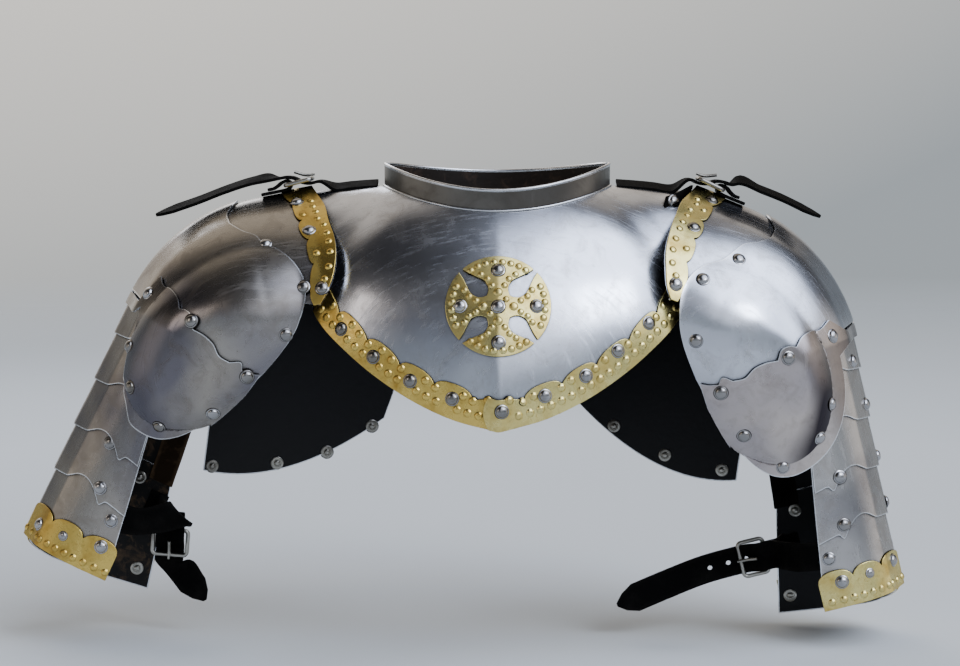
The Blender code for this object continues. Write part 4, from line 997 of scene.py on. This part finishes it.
def punchHoles(piece, centres, halves, holes):
    # round holes through the leather, each given by its distance from the tip
    tool = bmesh.new()
    for along in holes:
        gone, i = 0.0, 0
        while gone < along:
            gone += (centres[i + 1] - centres[i]).length
            i += 1
        normal = (centres[i + 1] - centres[i]).cross(halves[i]).normalized()
        turn = normal.to_track_quat("Z", "Y").to_matrix().to_4x4()
        turn.translation = centres[i]
        bmesh.ops.create_cone(tool, cap_ends=True, segments=20, radius1=strap["hole"] / 2, radius2=strap["hole"] / 2,
                              depth=0.012, matrix=turn)
    punch = bpy.data.objects.new("punch", keepMesh("punch", tool))
    bpy.context.scene.collection.objects.link(punch)
    cut = piece.modifiers.new("holes", "BOOLEAN")
    cut.operation = "DIFFERENCE"
    cut.solver = "EXACT"
    cut.use_self = True
    cut.object = punch
    piece.modifiers.move(2, 1)
    shape = bpy.data.meshes.new_from_object(piece.evaluated_get(bpy.context.evaluated_depsgraph_get()))
    piece.modifiers.clear()
    piece.data = shape
    bpy.data.objects.remove(punch)


def makeBuckle(name, place, strapLow, tabLow, lead, trail, tabTail, tips, holes=()):
    half = strap["width"] / 2
    wireHalf, leatherHalf = buckle["wire"] / 2, stock["leather"] / 2
    gap = stock["clearance"]
    freeBar = strapLow + leatherHalf + gap + wireHalf
    heelRun = buckle["length"] - buckle["wire"]
    wrap = wireHalf + gap + leatherHalf
    heelBar = tabLow + wrap + gap
    overHeel = heelBar + wrap + stock["leather"] + gap
    frameLine, corner = [], buckle["corner"]
    longHalf, wideHalf = heelRun / 2, (buckle["width"] - buckle["wire"]) / 2
    for index, (runSign, sideSign) in enumerate(((1, 1), (-1, 1), (-1, -1), (1, -1))):
        for turn in range(0, 91, 15):
            angle = math.radians(90 * index + turn)
            run = runSign * (longHalf - corner) + corner * math.cos(angle)
            across = sideSign * (wideHalf - corner) + corner * math.sin(angle)
            height = freeBar + (heelBar - freeBar) * (run + longHalf) / heelRun
            frameLine.append(place(run + longHalf, height, across))
    wirePiece(name + "_buckle_frame", frameLine, buckle["wire"], buckleSteel, [name + "_buckle"], True)
    tongueLow = freeBar + wireHalf + gap + buckle["tongue"] / 2
    tongueTop = overHeel + leatherHalf + gap + buckle["tongue"] / 2
    tongueLine = smoothLine([place(-0.0028, tongueLow - 0.0004, 0.0), place(0.0025, tongueLow, 0.0),
                             place(heelRun - 0.007, tongueTop, 0.0)], [8, 8])
    wirePiece(name + "_buckle_tongue", tongueLine, buckle["tongue"], buckleSteel, [name + "_tongue"],
              taper=[0.72 + 0.28 * min(i / 6, 1) for i in range(len(tongueLine))])

    def row(run, height, share=1.0):
        low, high = place(run, height, -half * share), place(run, height, half * share)
        return (low + high) / 2, (high - low) / 2
    through = [row(-0.0055, strapLow), row(0.0015, strapLow), row(0.006, strapLow + 0.0014),
               row(heelRun - 0.006, overHeel - 0.0016), row(heelRun, overHeel), row(heelRun + 0.004, overHeel)]
    rows = lead + through + trail
    ribbonPiece(name + "_strap_leather", rows, [strapBlack], name + "_strap",
                tips=[i % len(rows) for i in tips], holes=holes)
    tab = [row(heelRun + 0.013, tabLow + stock["leather"] + gap, strap["tab"]),
           row(heelRun + 0.009, tabLow + stock["leather"] + gap, strap["tab"])]
    for turn in (90, 112, 135, 157, 180, 202, 225, 247, 270):
        angle = math.radians(turn)
        tab.append(row(heelRun + wrap * math.cos(angle), heelBar + wrap * math.sin(angle), strap["tab"]))
    tab += [row(heelRun + run, tabLow, strap["tab"]) for run in ((0.004, 0.010) if tabTail else (0.008, 0.018))]
    ribbonPiece(name + "_tab_leather", tab + tabTail, [strapBlack], name + "_tab", steps=3)


def gorgetHeight(x):
    spots = [gorgetPoint(-1.0, i / 20) for i in range(21)]
    return at([(spot.x, spot.z) for spot in spots], x)


def tipped(rows):
    # the last rows of a strap, drawn in to a blunt point
    centre, half = rows[-1]
    rows = [row for row in rows[:-1] if (centre - row[0]).length > strap["tip"] * 1.1] + rows[-1:]
    before = rows[-2][0]
    ahead = (centre - before).normalized()
    full = rows[-2][1]
    return rows[:-1] + [(centre - ahead * strap["tip"], full), (centre - ahead * strap["tip"] * 0.4, full * 0.62),
                        (centre, full * 0.12)]


def makeShoulderBuckle(side):
    sideWays = Vector((0.0, math.cos(strap["tilt"]), math.sin(strap["tilt"]))) * strap["width"] / 2

    def place(run, height, across):
        spot, inward = ridgeLine(run)
        spot = spot - inward * (stock["steel"] + height)
        return hang(side, Vector((spot.x, across, spot.y)))
    lead = []
    start, stop = neckHole["halfWidth"] + strap["gap"], side["hangX"] - strap["liftOff"]
    for share in (0.0, 0.33, 0.67, 1.0):
        x = start + (stop - start) * share
        top = gorgetHeight(x) + stock["steel"] + stock["clearance"] + stock["leather"] / 2
        lead.append((Vector((side["sign"] * x, 0.0, top)), sideWays))
    trail = [(Vector((side["sign"] * (side["hangX"] + out), 0.0, side["hangZ"] + rise)), sideWays)
             for out, rise in side["freeEnd"]]
    low = stock["fit"] + stock["brass"] + stock["clearance"] + stock["leather"] / 2
    makeBuckle(side["name"] + "_shoulder", place, low, stock["clearance"] + stock["leather"] / 2, lead,
               tipped(trail), [], (-3, -2))


def worldRow(side, x, y, z, turn):
    angle = math.radians(turn)
    half = Vector((side["sign"] * math.cos(angle), 0.0, math.sin(angle))) * (strap["width"] / 2)
    return Vector((side["sign"] * x, y, z)), half


def inLame(side, run, inset, back):
    depth = section["armBack"] if back else section["armFront"]
    depth -= (len(lames["ends"]) - 1) * layer + stock["clearance"] + stock["leather"] / 2
    spot, inward = ridgeLine(run * ridge["length"])
    forward = Vector((-inward.y, inward.x)) * (strap["width"] / 2)
    spot = spot + inward * (inset * section["armReach"])
    low, high = [hang(side, Vector((place.x, depth if back else -depth, place.y)))
                 for place in (spot + forward, spot - forward)]
    return (low + high) / 2, (high - low) / 2


def makeArmBuckle(side):
    turn = side["armTurn"]
    along = Vector((side["sign"] * math.cos(turn), 0.0, math.sin(turn)))
    acrossTurn = turn - math.radians(90 if side["sign"] > 0 else 270)
    wide = Vector((side["sign"] * math.cos(acrossTurn), 0.0, math.sin(acrossTurn)))
    x, y, z = side["armBuckle"]
    freeBar = Vector((side["sign"] * x, y, z)) + along * (buckle["length"] - buckle["wire"]) / 2

    def place(run, height, across):
        return freeBar - along * run + Vector((0.0, -height, 0.0)) + wide * across
    lead = [inLame(side, side["strapRun"], inset, False) for inset in strap["insets"]]
    lead += [worldRow(side, *row) for row in side["armLead"]]
    trail = tipped([worldRow(side, *row) for row in side["armFree"]])
    tabTail = [worldRow(side, *row) for row in side["armTab"]]
    tabTail += [inLame(side, side["tabRun"], inset, True) for inset in strap["tabInsets"]]
    makeBuckle(side["name"] + "_arm", place, stock["leather"] / 2, stock["leather"] / 2, trail[::-1], lead[::-1],
               tabTail, (1, 2), side["strapHoles"])


def makeLameStrap(side):
    rows, width = [], 0.018
    tops = [end - lames["lap"] for end in lames["ends"][:-1]]
    steps = [(tops[0] + 0.012, 1)]
    for number, top in enumerate(tops[1:], start=2):
        steps += [(top - 0.012, number - 1), (top - 0.002, number)]
    steps.append((tops[-1] + 0.030, len(tops)))
    for run, number in steps:
        share = (run - steps[0][0]) / (steps[-1][0] - steps[0][0])
        depth = section["armBack"] - number * layer - stock["clearance"] - stock["leather"] / 2
        spot, inward = ridgeLine(run * ridge["length"])
        inset = section["armReach"] * (1.15 + 0.22 * share)
        inner, outer = [hang(side, Vector((place.x, depth, place.y)))
                        for place in (spot + inward * (inset + w * width / 2) for w in (1, -1))]
        rows.append(((inner + outer) / 2, (outer - inner) / 2))
    ribbonPiece(side["name"] + "_lame_leather", rows, [side["suede"]], side["name"] + "_lame_strap",
                steps=3)


for side in (leftSide, rightSide):
    makeShoulderBuckle(side)
    makeArmBuckle(side)
    makeLameStrap(side)
print("straps and buckles made")


# camera, wanted early because rivets are set where the photograph's view shows them
view = {"distance": 1.8, "pitch": math.radians(4.6), "target": (-0.012, 0.0, -0.100), "lens": 96.4, "sensor": 36.0,
        "width": 960, "height": 666}
cameraData = bpy.data.cameras.new("camera")
cameraData.lens = view["lens"]
cameraData.sensor_width = view["sensor"]
cameraData.clip_end = 30
camera = bpy.data.objects.new("camera", cameraData)
camera.location = (view["target"][0], -view["distance"] * math.cos(view["pitch"]),
                   view["target"][2] + view["distance"] * math.sin(view["pitch"]))
camera.rotation_euler = (math.pi / 2 - view["pitch"], 0.0, 0.0)
bpy.context.scene.collection.objects.link(camera)
bpy.context.scene.camera = camera
bpy.context.view_layer.update()


def lookThrough(column, row):
    # ray from the camera through a place in the picture
    scale = view["sensor"] / view["lens"] / view["width"]
    ray = Vector(((column - view["width"] / 2) * scale, (view["height"] / 2 - row) * scale, -1.0))
    return camera.location.copy(), (camera.matrix_world.to_3x3() @ ray).normalized()


def surfaceOf(names):
    graph = bpy.context.evaluated_depsgraph_get()
    spots, faces = [], []
    for name in names:
        shape = made[name].evaluated_get(graph).to_mesh()
        start = len(spots)
        spots += [vert.co.copy() for vert in shape.vertices]
        faces += [tuple(start + i for i in face.vertices) for face in shape.polygons]
    return BVHTree.FromPolygons(spots, faces)


plateNames = [name for name in made if not name.endswith("_leather")]
allPlates = surfaceOf(plateNames)


# rivets, washers and raised dots
rivet = {"head": 0.0040, "height": 0.0026, "washer": 0.0047, "smallHead": 0.0027, "smallHeight": 0.0016,
         "rearToo": 10}
dot = {"border": 0.0024, "cuff": 0.0022, "height": 0.0011, "spacing": 0.0074}
# near-black ring laid round each head and dot: painted shade in the corner where it meets the plate
shadeRingPaint = blackedInside("painted_shade_round_heads", "#120d09", "#2a1d12", 0.2)


def addRings(tool, place, normal, levels, around):
    # rings of points, each given by its radius, its rise and its material; the first one is closed below
    turn, previous = normal.to_track_quat("Z", "Y"), None
    for radius, rise, material in levels:
        angles = [math.tau * i / around for i in range(around)]
        ring = [tool.verts.new(place + turn @ Vector((radius * math.cos(angle), radius * math.sin(angle), rise)))
                for angle in angles]
        if previous:
            for i in range(around):
                corners = (previous[i], previous[(i + 1) % around], ring[(i + 1) % around], ring[i])
                tool.faces.new(corners).material_index = material
        else:
            tool.faces.new(ring[::-1]).material_index = material
        previous = ring
    return previous


def addDome(tool, place, normal, radius, height, shadeRing=0.0012, around=20, rings=6, top=0):
    # round head on the surface, with a thin dark ring round its foot: painted shade where the head meets the surface
    levels = [(radius + shadeRing, -0.0003, 1), (radius + shadeRing * 0.6, 0.0001, 1), (radius, 0.0003, top)]
    for k in range(1, rings):
        angle = math.pi / 2 * k / rings
        levels.append((radius * math.cos(angle) ** 0.9, 0.0003 + (height - 0.0003) * math.sin(angle), top))
    ring = addRings(tool, place, normal, levels, around)
    crown = tool.verts.new(place + normal.to_track_quat("Z", "Y") @ Vector((0, 0, height)))
    for i in range(around):
        tool.faces.new((ring[i], ring[(i + 1) % around], crown)).material_index = top


def addWasher(tool, place, normal, radius):
    # flat ring under the hammered end of a rivet
    levels = [(radius * share, rise, 0) for share, rise in (
        (1.0, -0.0003), (1.0, 0.0007), (0.92, 0.0010), (0.66, 0.0010), (0.60, 0.0004), (0.50, 0.0004),
        (0.44, 0.0013), (0.30, 0.0019))]
    tool.faces.new(addRings(tool, place, normal, levels, 24))


def seatFromCamera(column, row, tree, depthHint=0.0):
    start, ray = lookThrough(column, row)
    place, normal, index, distance = tree.ray_cast(start, ray)
    if place is None:
        near = start + ray * ((depthHint - start.y) / ray.y)
        place, normal, index, distance = tree.find_nearest(near)
        if normal.dot(near - place) < 0:
            normal = -normal
    elif normal.dot(ray) > 0:
        normal = -normal
    return place, normal


def seatNear(point, tree):
    place, normal, index, distance = tree.find_nearest(point)
    return place, (normal if normal.dot(point - place) >= 0 else -normal)


def seatBehind(place, tree):
    # the same place on the rear of the plates
    hit, normal, index, distance = tree.ray_cast(Vector((place.x, 1.0, place.z)), Vector((0.0, -1.0, 0.0)))
    return (hit, normal if normal.y > 0 else -normal) if hit and hit.y > 0.005 else (None, None)


def keepFittings(name, tool, materials):
    finishPiece(name, keepMesh(name, tool), materials, [], cutEdge=0, smooth=50)


# places in the picture, column and row
rivetSpots = {
    "left": [(739, 259), (703, 279), (696, 341), (788.5, 358), (833, 336), (721, 393), (744, 436), (783, 467),
             (820, 438), (832, 404), (712, 200), (694, 227), (676, 284), (840, 477), (844, 525), (842, 582),
             (893, 560), (853, 361), (866, 404), (878, 455), (886, 501), (829, 559)],
    "right": [(265, 244), (303, 287), (286, 335), (191, 321), (148, 293), (247, 377), (213, 414), (159, 427),
              (130, 387), (129, 346), (297, 202), (309, 230), (322, 288), (110, 443), (100, 488), (111, 521),
              (39, 524), (101, 547)],
    "gorget": [(341, 329), (373, 357), (410, 381), (452, 399), (502, 412), (545, 396), (586, 376), (618, 351),
               (649, 323)],
}
washerSpots = {
    "left": [(614, 426), (665, 455), (722, 470), (795, 510), (790, 595)],
    "right": [(372, 426), (327, 452), (277, 463), (212, 466), (137, 568), (140, 477)],
}
smallBrassSpots = {"left": [(870, 573)], "right": [(63, 536)]}

for sideName in ("left", "right", "gorget"):
    tool, washers = bmesh.new(), bmesh.new()
    for index, (column, row) in enumerate(rivetSpots[sideName]):
        place, normal = seatFromCamera(column, row, allPlates)
        addDome(tool, place, normal, rivet["head"], rivet["height"])
        if sideName != "gorget" and index < rivet["rearToo"]:
            place, normal = seatBehind(place, allPlates)
            if place:
                addDome(tool, place, normal, rivet["head"], rivet["height"])
    for column, row in washerSpots.get(sideName, []):
        place, normal = seatFromCamera(column, row, allPlates, 0.06)
        addWasher(washers, place, normal, rivet["washer"])
        hit, outward, face, distance = allPlates.ray_cast(place - normal * 0.02, normal)
        if hit:
            addDome(tool, hit, -normal, rivet["head"], rivet["height"])
    for column, row in smallBrassSpots.get(sideName, []):
        place, normal = seatFromCamera(column, row, allPlates)
        addDome(tool, place, normal, rivet["smallHead"], rivet["smallHeight"])
    keepFittings(sideName + "_rivets", tool, [rivetSteel, shadeRingPaint])
    if sideName != "gorget":
        keepFittings(sideName + "_rivet_washers", washers, [buckleSteel])

# leather keeper under the neck border, with its stud
keeper = {"places": ((664, 205), (671, 203), (680, 199), (690, 194)), "width": 0.011, "raise": 0.0013,
          "stud": (674, 202)}
rows = []
for column, row in keeper["places"]:
    place, normal = seatFromCamera(column, row, surfaceOf(["gorget_front"]))
    rows.append((place + normal * keeper["raise"], Vector((0.25, 0.35, 0.9)).normalized() * keeper["width"] / 2))
ribbonPiece("left_keeper", rows, [strapBlack], None, steps=4)
tool = bmesh.new()
place, normal = seatFromCamera(keeper["stud"][0], keeper["stud"][1], surfaceOf(["left_keeper"]))
addDome(tool, place, normal, rivet["head"] * 1.15, rivet["height"] * 1.2)
keepFittings("left_keeper_stud", tool, [rivetSteel, shadeRingPaint])

# raised dots of the lower borders
for name, sign, material in (("gorget_border_left", 1, brassHighlightCopy), ("gorget_border_right", -1, brassGold)):
    tree, tool = surfaceOf([name]), bmesh.new()
    rivets = [seatFromCamera(column, row, allPlates)[0] for column, row in rivetSpots["gorget"]]
    wanted = []
    share, last = (0.0 if sign > 0 else 0.045), None
    while share < 0.845:
        point = lowerBorderPoint(share, 0.17)
        if last is None or (point - last).length >= dot["spacing"]:
            wanted.append((share, 0.17))
            last = point
        share += 0.002
    for cusp in lowerBorder["cusps"][1:-1]:
        wanted += [(cusp + 0.006, 0.54), (cusp - 0.060, 0.66), (cusp + 0.052, 0.60)]
    for share, height in wanted:
        point = lowerBorderPoint(share, height)
        point = Vector((sign * point.x, point.y, point.z))
        away = point + Vector((0.0, -0.006, 0.003))
        place, normal = seatNear(away, tree)
        if min((place - spot).length for spot in rivets) > rivet["head"] + dot["border"] + 0.0004:
            addDome(tool, place, normal, dot["border"], dot["height"], shadeRing=0.0007, around=14, rings=4)
    keepFittings(name + "_dots", tool, [material, shadeRingPaint])

# raised dots and rivets of the badge
tree, tool, heads = surfaceOf(["badge_cross"]), bmesh.new(), bmesh.new()
for arm in range(4):
    for share, turn, size in badge["dots"]:
        if arm in (1, 3) and abs(turn) > 35:
            continue
        hit, normal = badgeSpot(share, 90 * arm + turn)
        place, normal = seatNear(hit + normal * 0.006, tree)
        addDome(tool, place, normal, size, dot["height"], shadeRing=0.0006, around=14, rings=4)
for share, turn in badge["rivets"]:
    hit, normal = badgeSpot(share, turn)
    place, normal = seatNear(hit + normal * 0.006, tree)
    addDome(heads, place, normal, rivet["head"], rivet["height"])
keepFittings("badge_dots", tool, [brassHighlightCopy, shadeRingPaint])
keepFittings("badge_rivets", heads, [rivetSteel, shadeRingPaint])

# raised dots of the neck borders and the cuffs
neckDotSpots = {
    "left": [(697.5, 198.7), (696.5, 203.5), (690.7, 209), (687.4, 215), (683, 221.7), (679.7, 228.4), (675.9, 238.4),
             (673, 249.4), (672.5, 262.8), (675.9, 275.7), (703.6, 209.7), (686.4, 248.5)],
    "right": [(310.8, 200.6), (312.7, 205.9), (315.6, 211), (317, 217.8), (323.3, 224), (326.6, 232.2),
              (328.5, 240.8), (330, 251.3), (328.5, 266.2), (324.2, 279), (302.7, 214), (316.6, 252.8)],
}
for side in (leftSide, rightSide):
    name = side["name"] + "_neck_border"
    tree, tool = surfaceOf([name]), bmesh.new()
    for column, row in neckDotSpots[side["name"]]:
        start, ray = lookThrough(column, row)
        place, normal, index, distance = tree.ray_cast(start, ray)
        if place:
            addDome(tool, place, normal if normal.y < 0 else -normal, dot["cuff"], dot["height"], shadeRing=0.0007,
                    around=14, rings=4)
    keepFittings(name + "_dots", tool, [side["brass"], shadeRingPaint])
    tree, tool = surfaceOf([side["name"] + "_cuff_edging"]), bmesh.new()
    for back in (False, True):
        inset, last = 0.06, None
        while inset < (1.30 if not back else 1.78):
            spot = hang(side, skinPoint(side, cuffSpot(inset, 0.20, back), back, arm=True))
            if last is None or (spot - last).length > dot["spacing"]:
                outward = spot - hang(side, Vector((*cuffSpot(1.0, 0.2, back), 0.0)).xzy)
                place, normal = seatNear(spot + outward.normalized() * 0.005, tree)
                addDome(tool, place, normal, dot["cuff"], dot["height"], shadeRing=0.0007, around=14, rings=4)
                last = spot
            inset += 0.01
    keepFittings(side["name"] + "_cuff_dots", tool, [side["brass"], shadeRingPaint])
print("rivets, washers and dots made")


# floor, world and lights
studio = {"floorDrop": 0.3160, "floorSize": 14.0}
floorMesh = bpy.data.meshes.new("studio_floor")
reach = studio["floorSize"] / 2
corners = [(x * reach, y * reach, 0) for x, y in ((-1, -1), (1, -1), (1, 1), (-1, 1))]
floorMesh.from_pydata(corners, [], [(0, 1, 2, 3)])
floor = bpy.data.objects.new("studio_floor", floorMesh)
floor.location.z = -studio["floorDrop"]
bpy.context.scene.collection.objects.link(floor)
floorPaint, tree, shader, place = startMaterial("floor_matt_pale", {"Roughness": 0.9})
cloudy = addNode(tree, "ShaderNodeTexNoise", {"Vector": place, "Scale": 1.2, "Detail": 4.0, "Roughness": 0.55})
paint = addNode(tree, "ShaderNodeMix", {"data_type": "RGBA", 0: cloudy.outputs["Fac"], 6: hexColour("#c6cbce"),
                                        7: hexColour("#cbd0d2")})
tree.links.new(paint.outputs[2], shader.inputs["Base Color"])
# the floor fades into the pale surroundings, as a studio sweep does
away = addNode(tree, "ShaderNodeVectorMath", {"operation": "LENGTH", 0: place}).outputs["Value"]
fade = addNode(tree, "ShaderNodeMapRange", {"Value": away, "From Min": 1.2, "From Max": 4.5}).outputs["Result"]
clear = addNode(tree, "ShaderNodeBsdfTransparent", {}).outputs[0]
mixed = addNode(tree, "ShaderNodeMixShader", {0: fade, 1: shader.outputs[0], 2: clear}).outputs[0]
tree.links.new(mixed, tree.nodes["Material Output"].inputs["Surface"])
floorMesh.materials.append(floorPaint)

world = bpy.data.worlds.new("studio_world")
bpy.context.scene.world = world
world.use_nodes = True
tree = world.node_tree
sky = addNode(tree, "ShaderNodeTexCoord", {}).outputs["Generated"]
height = addNode(tree, "ShaderNodeSeparateXYZ", {"Vector": sky}).outputs["Z"]
rise = addNode(tree, "ShaderNodeMapRange", {"Value": height, "From Min": 0.05, "From Max": 0.42}).outputs["Result"]
total = addNode(tree, "ShaderNodeMix", {"data_type": "RGBA", 0: rise, 6: hexColour("#b0b8be"),
                                        7: hexColour("#454342")}).outputs[2]
# broad soft panels: direction, how wide, strength, colour
panels = (((0.54, -0.36, 0.74), 0.79, 5.2, "#e3ecff"), ((0.26, -0.86, 0.42), 0.90, 2.6, "#eef3ff"),
          ((0.99, 0.02, 0.0), 0.84, 0.9, "#fff1e4"), ((-0.34, -0.86, 0.26), 0.93, 0.5, "#dfe8ff"),
          ((-0.96, -0.10, 0.05), 0.84, 0.8, "#fff0de"), ((-0.20, 0.75, 0.62), 0.70, 0.9, "#fff0dc"))
for toward, wide, strength, colour in panels:
    facing = addNode(tree, "ShaderNodeVectorMath", {"operation": "DOT_PRODUCT", 0: sky,
                                                    1: Vector(toward).normalized()}).outputs["Value"]
    amount = addNode(tree, "ShaderNodeMapRange", {"Value": facing, "From Min": wide, "From Max": wide + 0.16,
                                                  "To Max": strength}).outputs["Result"]
    glow = addNode(tree, "ShaderNodeVectorMath", {"operation": "SCALE", 0: hexColour(colour)[:3],
                                                  "Scale": amount}).outputs["Vector"]
    total = addNode(tree, "ShaderNodeVectorMath", {"operation": "ADD", 0: total, 1: glow}).outputs["Vector"]
tree.links.new(total, tree.nodes["Background"].inputs["Color"])
tree.nodes["Background"].inputs["Strength"].default_value = 0.9


def softBox(name, place, aim, size, power, colour):
    light = bpy.data.lights.new(name, "AREA")
    light.shape = "RECTANGLE"
    light.size, light.size_y = size
    light.energy = power
    light.color = hexColour(colour)[:3]
    lamp = bpy.data.objects.new(name, light)
    lamp.location = place
    lamp.rotation_euler = (Vector(aim) - Vector(place)).to_track_quat("-Z", "Y").to_euler()
    bpy.context.scene.collection.objects.link(lamp)


softBox("key", (1.3, -1.5, 1.1), (0.0, 0.0, -0.1), (0.7, 0.7), 14, "#e9f1ff")
softBox("fill", (-1.6, -1.3, 0.7), (0.0, 0.0, -0.1), (0.5, 0.8), 3, "#fff0e2")
softBox("rear", (-0.6, 1.8, 0.9), (0.0, 0.0, -0.1), (1.2, 0.7), 8, "#f2f6ff")
print("studio set")
